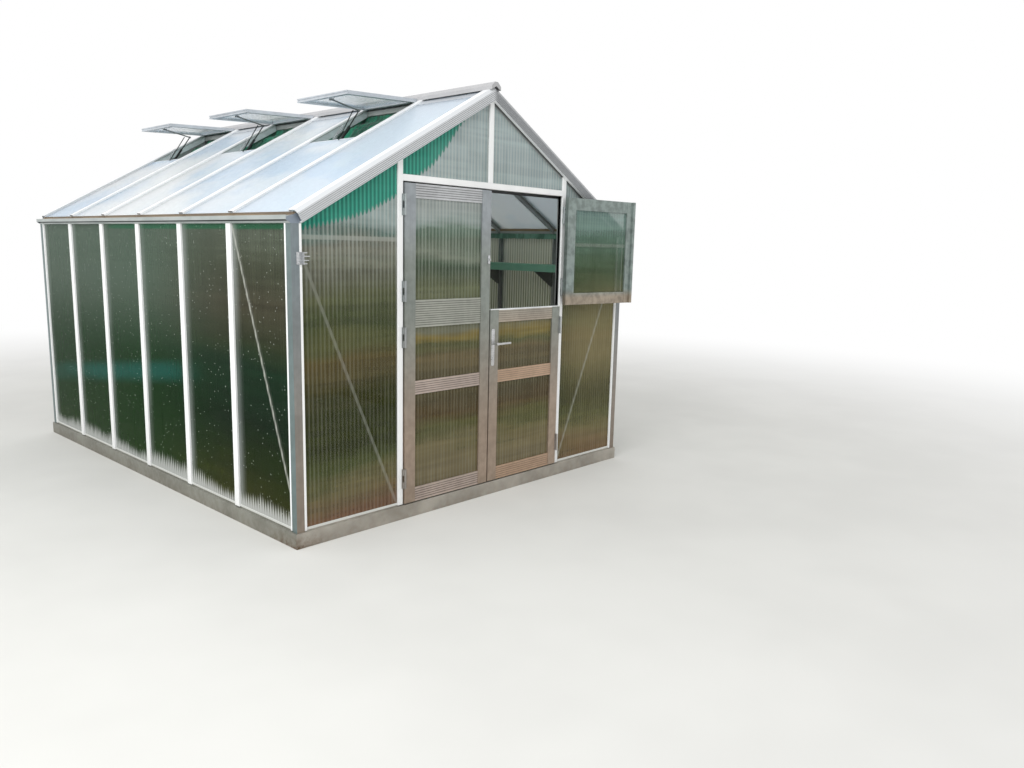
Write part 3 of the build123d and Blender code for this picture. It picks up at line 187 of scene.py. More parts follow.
class Value:
    """A number, place or colour that a node hands out. What is done with it adds more nodes."""

    def __init__(self, bench, socket):
        self.bench = bench
        self.socket = socket

    def reckon(self, way, other=0.0, clamp=False):
        """One sum of this and another number."""
        return self.bench.reckon(way, self, other, clamp)

    def __add__(self, other):
        return self.reckon("ADD", other)

    def __sub__(self, other):
        return self.reckon("SUBTRACT", other)

    def __rsub__(self, other):
        return self.bench.reckon("SUBTRACT", other, self)

    def __mul__(self, other):
        return self.reckon("MULTIPLY", other)

    def __truediv__(self, other):
        return self.reckon("DIVIDE", other)

    def __rtruediv__(self, other):
        return self.bench.reckon("DIVIDE", other, self)

    def __abs__(self):
        return self.reckon("ABSOLUTE")

    def most(self, other):
        """The larger of two numbers."""
        return self.reckon("MAXIMUM", other)

    def spread(self, low, high, to_low=0.0, to_high=1.0, smooth=True):
        """The stretch from low to high, brought to another range and held there."""
        way = "SMOOTHSTEP" if smooth else "LINEAR"
        inputs = {"Value": self, "From Min": low, "From Max": high, "To Min": to_low, "To Max": to_high}
        return self.bench.put("ShaderNodeMapRange", inputs, interpolation_type=way)[0]

    def even(self, low, high):
        """0 to 1 brought evenly to another range."""
        return self.spread(0.0, 1.0, low, high, smooth=False)

    def eased(self, low, high):
        """0 to 1 brought to another range, slower near both its ends."""
        return self.spread(0.0, 1.0, low, high)

    def within(self, low, low_full, high_full, high):
        """1 between two soft edges: rising from low to low_full, falling from high_full to high."""
        return self.spread(low, low_full) * self.spread(high, high_full)

    def mix(self, first, second):
        """Two colours mixed by this share."""
        return self.bench.put("ShaderNodeMix", {0: self, 6: first, 7: second}, data_type="RGBA")[2]

    def toned(self, tone):
        """This colour made lighter or darker by a number."""
        grey = self.bench.put("ShaderNodeCombineColor", {0: tone, 1: tone, 2: tone})[0]
        inputs = {0: 1.0, 6: self, 7: grey}
        return self.bench.put("ShaderNodeMix", inputs, data_type="RGBA", blend_type="MULTIPLY")[2]

    def ramp(self, stops):
        """A colour that changes along this number, through (place, colour) stops."""
        node = self.bench.tree.nodes.new("ShaderNodeValToRGB")
        self.bench.fill(node, {0: self})
        marks = node.color_ramp.elements
        while len(marks) < len(stops):
            marks.new(0.5)
        for mark, (where, colour) in zip(marks, stops):
            mark.position = where
            mark.color = colour
        return Value(self.bench, node.outputs[0])

    def parts(self):
        """The three parts of this place or direction."""
        return self.bench.put("ShaderNodeSeparateXYZ", {0: self})

    def stretch(self, *by):
        """This place scaled by three factors, or by the parts of another."""
        by = by[0] if len(by) == 1 else by
        return self.bench.put("ShaderNodeVectorMath", {0: self, 1: by}, operation="MULTIPLY")[0]

    def noise(self, scale, detail=2.0, roughness=0.5):
        """Cloudy noise at this place, mostly 0.3 to 0.7."""
        inputs = {"Vector": self, "Scale": scale, "Detail": detail, "Roughness": roughness}
        return self.bench.put("ShaderNodeTexNoise", inputs)[0]

    def bump(self, distance, strength=1.0):
        """Normals of a surface raised by this height."""
        inputs = {"Height": self, "Distance": distance, "Strength": strength}
        return self.bench.put("ShaderNodeBump", inputs)[0]


class Bench:
    """Places and joins the nodes of one material or one shared group."""

    def __init__(self, tree):
        self.tree = tree

    def fill(self, node, inputs):
        """Sets or joins a node's inputs, given by name or number."""
        for name, value in inputs.items():
            if isinstance(value, Value):
                self.tree.links.new(value.socket, node.inputs[name])
            else:
                node.inputs[name].default_value = value

    def dress(self, shader, **inputs):
        """Sets or joins a shader's inputs, given by name with _ for a space."""
        self.fill(shader, {name.replace("_", " "): value for name, value in inputs.items()})

    def put(self, kind, inputs=None, **settings):
        """Adds a node, sets its properties and fills its inputs. Gives its outputs, each by number
        and by name."""
        node = self.tree.nodes.new(kind)
        for name, value in settings.items():
            setattr(node, name, value)
        self.fill(node, inputs or {})
        outputs = {}
        for number, socket in enumerate(node.outputs):
            outputs[number] = outputs[socket.name] = Value(self, socket)
        return outputs

    def use(self, group, inputs):
        """The outputs of a shared group with its own values here."""
        return self.put("ShaderNodeGroup", inputs, node_tree=group)

    def reckon(self, way, first, second, clamp=False):
        """One sum of two numbers."""
        return self.put("ShaderNodeMath", {0: first, 1: second}, operation=way, use_clamp=clamp)[0]

    def vector(self, x, y, z):
        """A place made of three numbers."""
        return self.put("ShaderNodeCombineXYZ", {0: x, 1: y, 2: z})[0]


def shared_group(name, inputs, outputs):
    """An empty node group: its bench, what comes in, and the node that it hands out by. An input
    with no value is a place."""
    tree = bpy.data.node_groups.new(name, "ShaderNodeTree")
    for label, value in inputs.items():
        kind = "NodeSocketFloat" if isinstance(value, float) else "NodeSocketVector"
        socket = tree.interface.new_socket(name=label, in_out="INPUT", socket_type=kind)
        if value is not None:
            socket.default_value = value
    for label in outputs:
        tree.interface.new_socket(name=label, in_out="OUTPUT", socket_type="NodeSocketFloat")
    bench = Bench(tree)
    return bench, bench.put("NodeGroupInput"), tree.nodes.new("NodeGroupOutput")


def patches_group():
    """Patch: broad soft stains, 0 to 1. Grain: the same much finer."""
    bench, given, out = shared_group("Soft Patches", {"Place": None, "Size": 0.3}, ["Patch", "Grain"])
    scale = 1.0 / given["Size"]
    broad = given["Place"].noise(scale, 3.0, 0.6)
    fine = given["Place"].noise(scale * 11.0)
    bench.fill(out, {"Patch": broad.spread(0.32, 0.68), "Grain": fine.spread(0.3, 0.7)})
    return bench.tree


def flutes_group():
    """Flutes of a twin-wall sheet. Web: 1 on the thin walls between them. Light: the bright half of
    each flute, a painted highlight, soft at its edges. Streak: each flute's own tone, changing slowly
    along it. Height: the round of each flute. Number: which flute it is."""
    bench, given, out = shared_group("Sheet Flutes", {"Across": 0.0, "Along": 0.0, "Pitch": 0.02},
                                     ["Web", "Light", "Streak", "Height", "Number"])
    cell = given["Across"] / given["Pitch"]
    number = cell.reckon("FLOOR")
    part = cell.reckon("FRACT")
    away = abs(part - 0.5)
    own = bench.vector(number * 5.37, 0.0, given["Along"] * 1.7)
    bench.fill(out, {"Web": away.spread(0.33, 0.48), "Light": away.spread(0.17, 0.37),
                     "Streak": own.noise(1.0, 2.0, 0.6).spread(0.3, 0.7),
                     "Height": (part * np.pi).reckon("SINE"), "Number": number})
    return bench.tree


def specks_group():
    """Speck: small scattered dots, such as drops and grit, on a share of the cells."""
    bench, given, out = shared_group("Specks", {"Place": None, "Size": 0.04, "Share": 0.3}, ["Speck"])
    cells = bench.put("ShaderNodeTexVoronoi", {"Vector": given["Place"], "Scale": 1.0 / given["Size"]})
    dot = cells["Distance"].spread(0.05, 0.12, 1.0, 0.0)
    lot = bench.put("ShaderNodeSeparateColor", {0: cells["Color"]})[0]
    bench.fill(out, {"Speck": dot * lot.reckon("LESS_THAN", given["Share"])})
    return bench.tree


def splash_group():
    """Dirt: earth thrown up from the ground, thick at the bottom and gone at Reach."""
    bench, given, out = shared_group("Ground Splash", {"Place": None, "Reach": 0.3}, ["Dirt"])
    height = given["Place"].parts()[2]
    fade = bench.reckon("SUBTRACT", 1.0, height / given["Reach"], clamp=True)
    blots = given["Place"].noise(26.0, 4.0, 0.7).spread(0.35, 0.72)
    thick = fade.reckon("POWER", 1.6) * (blots + 0.35)
    bench.fill(out, {"Dirt": thick.reckon("MULTIPLY", 1.0, clamp=True)})
    return bench.tree


def drawn_group():
    """Drawn metal. Line: fine streaks along the profile. Mottle: cloudy zinc-like blotches."""
    bench, given, out = shared_group("Drawn Metal", {"Place": None, "Draw": (60.0, 60.0, 60.0)},
                                     ["Line", "Mottle"])
    lines = given["Place"].stretch(given["Draw"]).noise(1.0, 3.0, 0.6)
    clouds = given["Place"].noise(22.0, 3.0, 0.55)
    bench.fill(out, {"Line": lines.spread(0.28, 0.72), "Mottle": clouds.spread(0.34, 0.66)})
    return bench.tree


def bar_group():
    """Mask: 1 where a straight bar from Start, with the unit direction Run, touches the sheet. All
    are (place along the wall, height), and Half is half of the bar's width."""
    inputs = {"Across": 0.0, "Up": 0.0, "Start": None, "Run": None, "Half": 0.01}
    bench, given, out = shared_group("Bar Behind", inputs, ["Mask"])
    start = given["Start"].parts()
    run = given["Run"].parts()
    off = (given["Across"] - start[0]) * run[1] - (given["Up"] - start[1]) * run[0]
    bench.fill(out, {"Mask": abs(off).spread(given["Half"], given["Half"] * 1.9, 1.0, 0.0)})
    return bench.tree


def glow_group():
    """Glow: painted light, the soft white smear that each bar throws on the sheet just before it,
    along Y. It is strongest at the strip's edge and gone within a fifth of a bay."""
    bench, given, out = shared_group("Bar Glow", {"Y": 0.0, "Height": 0.0}, ["Glow"])
    cell = (given["Y"] - MIDDLE) / BAY_PITCH
    fade = (1.0 - cell.reckon("FRACT")).spread(0.04, 0.19, 1.0, 0.0, smooth=False)
    own = bench.vector(cell.reckon("FLOOR"), 0.0, given["Height"] * 1.6)
    share = own.noise(1.0, 1.0).spread(0.3, 0.7, 0.35, 1.0)
    bench.fill(out, {"Glow": fade.reckon("POWER", 2.0) * share})
    return bench.tree


def weave_group():
    """Threads of a woven cloth on its own UV map, in metres. Thread: bright on the threads.
    Height: over and under."""
    bench, given, out = shared_group("Open Weave", {"Cloth": None, "Pitch": 0.003}, ["Thread", "Height"])
    place = given["Cloth"].parts()
    turns = 2 * np.pi / given["Pitch"]
    warp = (place[0] * turns).reckon("SINE")
    weft = (place[1] * turns).reckon("SINE")
    bench.fill(out, {"Thread": warp.most(weft).spread(-0.2, 0.9), "Height": (warp * weft).spread(-1.0, 1.0)})
    return bench.tree


PATCHES = patches_group()
FLUTES = flutes_group()
SPECKS = specks_group()
SPLASH = splash_group()
DRAWN = drawn_group()
WEAVE = weave_group()
BAR_BEHIND = bar_group()
BAR_GLOW = glow_group()
ALONG_X = (3.0, 260.0, 260.0)
ALONG_Y = (260.0, 3.0, 260.0)
UPRIGHT = (260.0, 260.0, 3.0)
EARTH = shade(96, 74, 52)


def new_material(name):
    """A material with its bench, its Principled shader, object coordinates and their parts."""
    material = bpy.data.materials.new(name)
    material.use_nodes = True
    bench = Bench(material.node_tree)
    shader = material.node_tree.nodes["Principled BSDF"]
    place = bench.put("ShaderNodeTexCoord")["Object"]
    return material, bench, shader, place, place.parts()


def facing(bench, axis, low=0.5, high=0.9):
    """1 on faces that look along X (0) or Y (1), from the object's own normals."""
    normal = bench.put("ShaderNodeTexCoord")["Normal"]
    return abs(normal.parts()[axis]).spread(low, high)


def aluminium(name, top, low, draw, metallic=0.55, roughness=0.42, mottle=0.07, dirt=0.2, split=(0.1, 1.7),
              side=None, groove=None, cap=None, high=None):
    """Mill-finish profile: cool tone high up and warm near the ground, drawn lines along it,
    cloudy blotches, and earth splashed over its foot. side is a painted light tone for the faces
    towards the long sides, which catch the light differently. groove, as (Y, how dark), paints shade on
    what lies deeper than that Y in a ribbed front. cap, as (low, high), is the height of a white cap.
    high is the tone above the eaves."""
    material, bench, shader, place, parts = new_material(name)
    drawn = bench.use(DRAWN, {"Place": place, "Draw": draw})
    stains = bench.use(PATCHES, {"Place": place, "Size": 0.35})
    colour = parts[2].spread(*split).mix(low, top)
    if high:
        colour = parts[2].spread(1.5, 1.85).mix(colour, high)
    if side:
        # painted light: faces towards the long sides get their own lit tone
        colour = facing(bench, 0).mix(colour, side)
    if groove:
        # painted shade in the grooves of a ribbed front
        groove_shade = parts[1].within(*(groove[0] + step for step in RAIL_GROOVE))
        colour = (groove_shade * groove[1]).mix(colour, shade(62, 60, 58))
    if cap:
        capped = parts[2].within(cap[0] - CAP_EDGE, *cap, cap[1] + CAP_EDGE)
        colour = capped.mix(colour, shade(240, 242, 242))
    cloud = drawn["Mottle"].even(1.0 - mottle, 1.0 + mottle * 0.5)
    colour = colour.toned(cloud * drawn["Line"].even(0.93, 1.06) * stains["Patch"].even(0.9, 1.05))
    soil = bench.use(SPLASH, {"Place": place, "Reach": 0.32})["Dirt"] * dirt
    rough = drawn["Line"].even(roughness - 0.06, roughness + 0.08)
    bench.dress(shader, Base_Color=soil.mix(colour, EARTH), Metallic=metallic,
                Roughness=rough + soil * 0.4, Normal=drawn["Line"].bump(0.0002))
    return material


def enamel(name, colour, dirt=0.25, face=None, ends=None):
    """White stove enamel with a slight film of dust, soft drips and splashed earth at its foot.
    With face, the outer faces towards the gables show that grey instead, partly bare metal and partly
    painted shade, with more painted shade on the right and in the grooves. With ends, faces towards
    the long sides show that colour, as open ends do."""
    material, bench, shader, place, parts = new_material(name)
    stains = bench.use(PATCHES, {"Place": place.stretch(1.0, 1.0, 0.3), "Size": 0.16})
    dusty = tuple(c * f for c, f in zip(colour[:3], (0.84, 0.85, 0.85))) + (1.0,)
    shown = (stains["Patch"] * 0.5).mix(colour, dusty)
    shown = (stains["Grain"] * 0.12).mix(shown, dusty)
    if face:
        # grey of the gable-facing faces: bare metal and painted shade, with more painted shade on the right
        face_grey_and_shade = parts[0].spread(-0.02, 0.02).mix(face, shade(146, 149, 152))
        shown = facing(bench, 1).mix(shown, face_grey_and_shade)
        # painted shade in the verge's grooves
        groove_shade = parts[1].within(*(VERGE_FACE + step for step in VERGE_GROOVE))
        shown = (groove_shade * 0.6).mix(shown, shade(96, 98, 102))
    if ends:
        shown = facing(bench, 0, 0.75, 0.8).mix(shown, ends)
    soil = bench.use(SPLASH, {"Place": place, "Reach": 0.4})["Dirt"] * dirt
    bench.dress(shader, Base_Color=soil.mix(shown, EARTH), Coat_Weight=0.25, Coat_Roughness=0.18,
                Roughness=stains["Grain"].eased(0.34, 0.46), Normal=stains["Grain"].bump(0.0002))
    return material


def rail_metal(name, draw, clean, dull):
    """The base rail: dull and soiled, most at the front left corner, with the sheet channel's pale
    bead along its top."""
    material, bench, shader, place, parts = new_material(name)
    drawn = bench.use(DRAWN, {"Place": place, "Draw": draw})
    stains = bench.use(PATCHES, {"Place": place, "Size": 0.22})
    body = stains["Patch"].mix(clean, dull)
    body = (drawn["Mottle"] * 0.2).mix(body, shade(176, 176, 170))
    near = parts[0].spread(-1.46, -1.2, 1.0, 0.2) * parts[1].spread(FRONT, FRONT + 0.35, 1.0, 0.25)
    dirt = bench.use(SPLASH, {"Place": place, "Reach": 0.11})["Dirt"]
    soil = dirt.reckon("MULTIPLY", near, clamp=True)
    body = parts[2].spread(*BEAD_SHOWS).mix(soil.mix(body, EARTH), shade(226, 228, 224))
    bench.dress(shader, Base_Color=body, Roughness=soil.eased(0.42, 0.85), Metallic=0.4,
                Normal=drawn["Line"].bump(0.0003))
    return material


def gutter_metal(name):
    """The eave profile: bright lip and ledge, painted shade in the slot between them, and the brown film
    that rain leaves on the sloped seat behind the lip."""
    material, bench, shader, place, parts = new_material(name)
    drawn = bench.use(DRAWN, {"Place": place, "Draw": ALONG_Y})
    stains = bench.use(PATCHES, {"Place": place.stretch(1.0, 0.3, 1.0), "Size": 0.08})
    body = stains["Patch"].mix(shade(180, 186, 184), shade(162, 170, 168))
    body = facing(bench, 1).mix(body, shade(136, 146, 158))
    between = parts[1].within(*GUTTER_RUN)
    # painted shade in the slot under the gutter
    body = (parts[2].within(*SLOT_SHADE_BAND) * between).mix(body, shade(48, 58, 56))
    film = parts[2].spread(GUTTER_LIP + 0.0002, GUTTER_LIP + 0.001) * between
    earth = stains["Patch"].mix(shade(150, 128, 98), shade(118, 100, 78))
    bench.dress(shader, Base_Color=(film * 0.95).mix(body, earth), Metallic=0.4,
                Roughness=drawn["Line"].even(0.36, 0.5), Normal=drawn["Line"].bump(0.0002))
    return material


def per_face(cover):
    """The cover that each of a sheet's two faces needs for the sheet to have this cover."""
    return 1 - (1 - cover) ** 0.5


def let_light_in(bench, cover):
    """The cover less for the light that falls through a sheet than for what is seen through it, as
    a clouded sheet lets daylight in but blurs the view."""
    path = bench.put("ShaderNodeLightPath")
    return cover * path["Is Shadow Ray"].most(path["Is Diffuse Ray"]).eased(1.0, SHEET_SHADE)


def bar_shown(bench, across, up, bars):
    """The masks of all the bars behind one sheet, the strongest of them at each place."""
    shown = None
    for start, end, half, clear in bars:
        run = np.subtract(end, start) / np.linalg.norm(np.subtract(end, start))
        bar = bench.use(BAR_BEHIND, {"Across": across, "Up": up, "Half": half, "Start": (*start, 0.0),
                                     "Run": (*run.tolist(), 0.0)})
        mask = bar["Mask"] * clear
        shown = shown.most(mask) if shown else mask
    return shown


def cloth_behind(parts, teeth):
    """1 where the shade cloth lies behind a gable sheet: from the slope down to the cloth's hang,
    seen a little to the side, with a tooth in each flute."""
    place = (parts[0] + CLOTH_BESIDE) * -1.0 / WALL_FACE
    hang = place.ramp([(p, (3 * drop, 3 * drop, 3 * drop, 1.0)) for p, drop in CLOTH_SEEN]) / 3.0
    down = RIDGE_LINE - place * (SLOPE * WALL_FACE) - parts[2]
    edge = hang + teeth * CLOTH_TEETH
    return (edge - down).spread(0.0, 0.006) * place.reckon("GREATER_THAN", 0.0)


def side_tones(bench, parts, flutes, colour):
    """What a side sheet adds to its banded tones: greener far bays, the cloth's hem under the eave, a
    painted teal reflection, the right wall's flutes painted pale as by daylight shining through them,
    and the painted glow beside each bar."""
    distant = parts[2].spread(*FAR_HEIGHT).mix(shade(0, 46, 0), shade(78, 97, 84))
    colour = parts[1].spread(*FAR_ALONG, 0.0, 0.8).mix(colour, distant)
    hem = parts[2].spread(*HEM_HEIGHT) * parts[1].spread(*HEM_ALONG, 0.0, 0.6)
    colour = hem.mix(colour, shade(0, 100, 66))
    # painted reflection: a teal patch across the side sheets
    pool = bench.vector(parts[1] * 0.8, 0.0, parts[2] * 3.0).noise(1.0).spread(0.3, 0.55, 0.25, 0.55)
    cloud = (parts[2] + parts[1] * REFLECTION_FALL).within(*REFLECTION_BAND)
    colour = (cloud * parts[1].spread(*REFLECTION_ALONG) * pool).mix(colour, shade(20, 92, 84))
    # painted light: the right wall's flutes made pale, as daylight shines through them
    backlit = flutes["Light"].mix(shade(130, 134, 106), shade(216, 218, 196))
    backlit = parts[2].spread(*BACKLIT_HEIGHT, 0.0, 0.5).mix(backlit, shade(196, 196, 180))
    colour = parts[0].reckon("GREATER_THAN", 0.0).mix(colour, backlit)
    # painted light: the glow beside each bar
    glow = bench.use(BAR_GLOW, {"Y": parts[1], "Height": parts[2]})["Glow"]
    return (glow * 0.6).mix(colour, shade(182, 188, 186))


def warmed(parts, colour):
    """A gable sheet's colour made warmer towards the right, from the knee up to the eaves."""
    warm = parts[2].spread(*WARM_HEAD) * parts[2].spread(*WARM_FOOT, 0.35, 1.0)
    return (warm * parts[0].spread(*WARM_ACROSS) * 0.5).mix(colour, shade(156, 144, 104))


def frost_shown(bench, parts, flutes):
    """The bloom of damp in the foot of a side sheet: a round tooth in each flute, whose height
    differs from flute to flute and from bay to bay."""
    own = bench.vector(flutes["Number"] * 3.71, 0.0, 0.0)
    tip = own.noise(1.0, 0.0).spread(0.25, 0.75, 0.75, 1.15, smooth=False)
    bays = bench.vector(0.0, parts[1] * 1.3, 0.0).noise(1.0, 1.0).spread(0.3, 0.6, 0.5, 1.0)
    top = tip * bays * FROST_HEIGHT * (flutes["Height"] + 0.6)
    return (top + FROST_FOOT - parts[2]).spread(*FROST_EDGE) * 0.68


def wall_sheet(name, axis, bands, cover, lines, line_colour, rough, reach=2.0, bars=(), behind=1.0,
               specks=0.0, cloth=False, side=False):
    """Twin-wall sheet: flutes across X (0) or Y (1), whose bright halves are a painted highlight that
    shows more with height, tones banded by height over its reach, bars that touch it showing through,
    drops and grit. cover is how much it hides near the ground and under the roof, lines how bright the
    flutes' painted highlights are there. With cloth it carries the green of the shade cloth that hangs
    close behind it, cut off in teeth by the flutes. A side sheet has its own tones and a bloom of damp
    in its foot."""
    material, bench, shader, place, parts = new_material(name)
    flutes = bench.use(FLUTES, {"Across": parts[axis], "Along": parts[2], "Pitch": FLUTE_PITCH})
    swell = (place.stretch(1.1, 1.1, 5.0).noise(1.0, 3.0, 0.55) - 0.5) * 0.16
    colour = (parts[2] / reach + swell).ramp(bands)
    drift = place.stretch(0.9, 0.9, 24.0).noise(1.0)
    colour = colour.toned(flutes["Streak"].even(0.92, 1.08) * drift.spread(0.3, 0.7, 0.86, 1.14))
    # painted highlight: the bright half of each flute, stronger with height
    shine = parts[2].spread(*LINES_RISE, *lines)
    line = flutes["Light"] * flutes["Streak"].spread(0.1, 0.9, 0.6, 1.0)
    colour = (line * shine).mix(colour, line_colour)
    hides = parts[2].spread(*COVER_CHANGE, per_face(cover[0]), per_face(cover[1])) + line * shine * 0.25
    if side:
        colour = side_tones(bench, parts, flutes, colour)
    layers = []
    if cloth:
        colour = warmed(parts, colour)
        shown = cloth_behind(parts, flutes["Height"])
        green = flutes["Light"].mix(shade(0, 114, 95), shade(46, 165, 142))
        layers.append((shown * 0.88, green, shown * per_face(0.96)))
    if bars:
        shown = bar_shown(bench, parts[axis], parts[2], bars) * flutes["Light"].eased(behind, 0.5 * behind)
        layers.append((shown, shade(190, 192, 184), shown * 0.9))
    if specks:
        dots = bench.use(SPECKS, {"Place": place, "Size": DROP_CELL, "Share": specks})["Speck"]
        layers.append((dots * 0.7, shade(206, 212, 204), dots * 0.8))
    if side:
        bloom = frost_shown(bench, parts, flutes)
        layers.append((bloom, shade(208, 210, 208), bloom))
    for share, tint, covered in layers:
        colour = share.mix(colour, tint)
        hides = hides.most(covered)
    bench.dress(shader, Base_Color=colour, Alpha=let_light_in(bench, hides), IOR=1.58,
                Specular_IOR_Level=0.02 if side else 0.06,
                Roughness=flutes["Streak"].eased(rough, rough + 0.12))
    return material


def roof_sheet(name, pale, blue, thin, dense):
    """Roof sheet: pale, with wide soft clouds of blue, a painted sky reflection that grows towards the
    front, faint flutes that run up the slope, and a foot end that is brown with silt. It covers
    thinly, and densely at the flutes' walls."""
    material, bench, shader, place, parts = new_material(name)
    flutes = bench.use(FLUTES, {"Across": parts[1], "Along": parts[0], "Pitch": FLUTE_PITCH / 2})
    clouds = place.stretch(1.2, 0.7, 1.2).noise(1.5, 3.0, 0.55)
    # painted sky reflection: blue clouds on the pale sheet, more of them towards the front
    share = (clouds.spread(0.4, 0.66) * 0.85).most(parts[1].spread(-0.2, -1.5, 0.0, 0.6))
    colour = (flutes["Web"] * 0.1).mix(share.mix(pale, blue), shade(196, 208, 218))
    film = bench.use(PATCHES, {"Place": place, "Size": 0.3})
    colour = (film["Patch"] * 0.05).mix(colour, shade(190, 194, 190))
    silt = parts[2].spread(SHEET_FOOT, SHEET_FOOT + SILT_DEPTH, 0.85, 0.0)
    cover = flutes["Web"].eased(per_face(thin), per_face(dense))
    bench.dress(shader, Base_Color=silt.mix(colour, shade(150, 128, 98)), IOR=1.58,
                Alpha=let_light_in(bench, cover), Roughness=film["Grain"].eased(0.2, 0.26),
                Normal=flutes["Height"].bump(0.0003, 0.4))
    return material


def painted(name, colour, worn, roughness, metallic=0.0):
    """Painted or coated metal with chalky patches and rubbed spots."""
    material, bench, shader, place, _ = new_material(name)
    film = bench.use(PATCHES, {"Place": place, "Size": 0.09})
    spots = bench.use(SPECKS, {"Place": place, "Size": 0.018, "Share": 0.25})["Speck"]
    colour = (spots * 0.3).mix((film["Patch"] * 0.3).mix(colour, worn), worn)
    bench.dress(shader, Base_Color=colour, Metallic=metallic, Normal=film["Grain"].bump(0.0003),
                Roughness=film["Grain"].eased(roughness - 0.08, roughness + 0.1))
    return material


def shade_net(name, dark, light, faded, crease_shade):
    """Woven shade cloth: threads on its own UV map, faded in soft patches, and painted shade in noise
    bands that stand for the creases between the folds."""
    material, bench, shader, place, _ = new_material(name)
    cloth = bench.put("ShaderNodeUVMap", uv_map="Cloth")[0]
    threads = bench.use(WEAVE, {"Cloth": cloth, "Pitch": WEAVE_PITCH})
    film = bench.use(PATCHES, {"Place": place, "Size": 0.25})
    colour = (film["Patch"] * 0.3).mix(threads["Thread"].mix(dark, light), faded)
    # painted shade: dark bands standing for the creases between folds
    crease_shade_mask = place.stretch(4.0, 15.0, 4.0).noise(1.0, 3.0, 0.6)
    colour = crease_shade_mask.spread(0.44, 0.58, 0.75, 0.0).mix(colour, crease_shade)
    bench.dress(shader, Base_Color=colour, Normal=threads["Height"].bump(0.0006), Sheen_Weight=0.2,
                Roughness=film["Grain"].eased(0.7, 0.85))
    return material


def banded(*stops):
    """Colour stops from (place, red, green, blue) rows."""
    return [(place, shade(*colour)) for place, *colour in stops]


SIDE_BANDS = banded(
    (0.0, 62, 50, 24), (0.1, 50, 52, 12), (0.22, 26, 38, 6), (0.36, 6, 28, 10), (0.52, 18, 42, 26),
    (0.62, 40, 48, 30), (0.74, 62, 60, 47), (0.86, 64, 68, 54), (1.0, 84, 92, 80))
GABLE_BANDS = banded(
    (0.040, 112, 82, 58), (0.120, 100, 92, 58), (0.168, 64, 70, 30), (0.220, 42, 48, 0),
    (0.312, 46, 50, 10), (0.360, 78, 71, 42), (0.408, 84, 73, 40), (0.440, 80, 82, 48),
    (0.480, 62, 70, 40), (0.544, 84, 88, 58), (0.600, 90, 92, 75), (0.632, 114, 116, 101),
    (0.656, 104, 104, 92), (0.684, 92, 116, 108), (0.716, 142, 158, 156), (0.880, 166, 182, 184))
LEAF_BANDS = banded(
    (0.125, 112, 102, 74), (0.180, 116, 106, 74), (0.240, 88, 88, 48), (0.300, 82, 66, 38),
    (0.370, 82, 76, 52), (0.440, 90, 82, 58), (0.485, 102, 90, 62), (0.515, 82, 84, 52),
    (0.545, 132, 116, 62), (0.580, 106, 106, 88), (0.685, 96, 102, 72), (0.720, 80, 88, 66),
    (0.755, 64, 80, 60), (0.790, 112, 120, 104), (0.825, 84, 100, 82), (0.865, 86, 110, 94),
    (0.895, 144, 158, 154), (0.940, 158, 166, 164))
UPPER_BANDS = banded(
    (0.650, 102, 102, 72), (0.725, 64, 82, 56), (0.790, 70, 94, 72), (0.860, 88, 116, 100),
    (0.900, 112, 138, 128), (0.975, 120, 146, 142))

POST_METAL = aluminium("corner_post_metal", shade(130, 140, 144), shade(146, 134, 122), UPRIGHT,
                       side=shade(114, 130, 130))
BAR_METAL = aluminium("upright_metal", shade(150, 155, 154), shade(144, 138, 130), UPRIGHT)
LONG_METAL = aluminium("long_profile_metal", shade(178, 182, 180), shade(160, 156, 148), ALONG_Y)
CROSS_METAL = aluminium("cross_profile_metal", shade(160, 164, 164), shade(150, 146, 140), ALONG_X)
GUTTER = gutter_metal("gutter_metal")
BASE_LONG = rail_metal("base_rail_metal_long", ALONG_Y, shade(137, 137, 127), shade(115, 114, 104))
BASE_CROSS = rail_metal("base_rail_metal_cross", ALONG_X, shade(178, 172, 162), shade(148, 142, 132))
WHITE = enamel("white_enamel", shade(250, 251, 251), dirt=0.18)
ROOF_WHITE = enamel("roof_strip_enamel", shade(246, 248, 250), ends=shade(88, 72, 58))
RIDGE_WHITE = enamel("ridge_enamel", shade(182, 182, 184))
VERGE_WHITE = enamel("verge_enamel", shade(246, 248, 250), face=shade(212, 215, 218))
STILE_METAL = aluminium("leaf_stile_metal", shade(138, 144, 138), shade(166, 148, 132), UPRIGHT, mottle=0.1,
                        split=(0.4, 1.35), high=shade(156, 162, 166))
RAIL_METAL = aluminium("leaf_rail_metal", shade(168, 170, 160), shade(192, 176, 166), ALONG_X,
                       split=(0.85, 1.2), groove=(RAIL_FACE, 0.65), high=shade(194, 196, 198))
CAPPED_RAIL = aluminium("capped_rail_metal", shade(168, 162, 150), shade(190, 162, 138), ALONG_X,
                        split=(0.85, 1.3), groove=(RAIL_FACE, 0.4), cap=(LEAF_TOP - CAP_HEIGHT, LEAF_TOP))
UPPER_METAL = aluminium("upper_leaf_metal", shade(140, 152, 148), shade(158, 146, 130), UPRIGHT, mottle=0.24,
                        split=(1.29, 1.36))
HINGE_STEEL = aluminium("hinge_metal", shade(158, 165, 166), shade(158, 152, 146), UPRIGHT, metallic=0.6,
                        roughness=0.32)
PLATED = aluminium("plated_metal", shade(196, 198, 200), shade(190, 188, 184), ALONG_X, metallic=0.9,
                   roughness=0.22, mottle=0.1, dirt=0.0)
VENT_GREY = aluminium("vent_frame_metal", shade(200, 206, 212), shade(200, 206, 212), ALONG_Y, mottle=0.06)
CURB_GREY = aluminium("curb_metal", shade(220, 228, 232), shade(220, 228, 232), ALONG_X, metallic=0.2,
                      mottle=0.1)
OPENER = aluminium("opener_metal", shade(136, 140, 142), shade(40, 42, 42), UPRIGHT, metallic=0.5,
                   mottle=0.2, dirt=0.0, split=(2.50, 2.53))
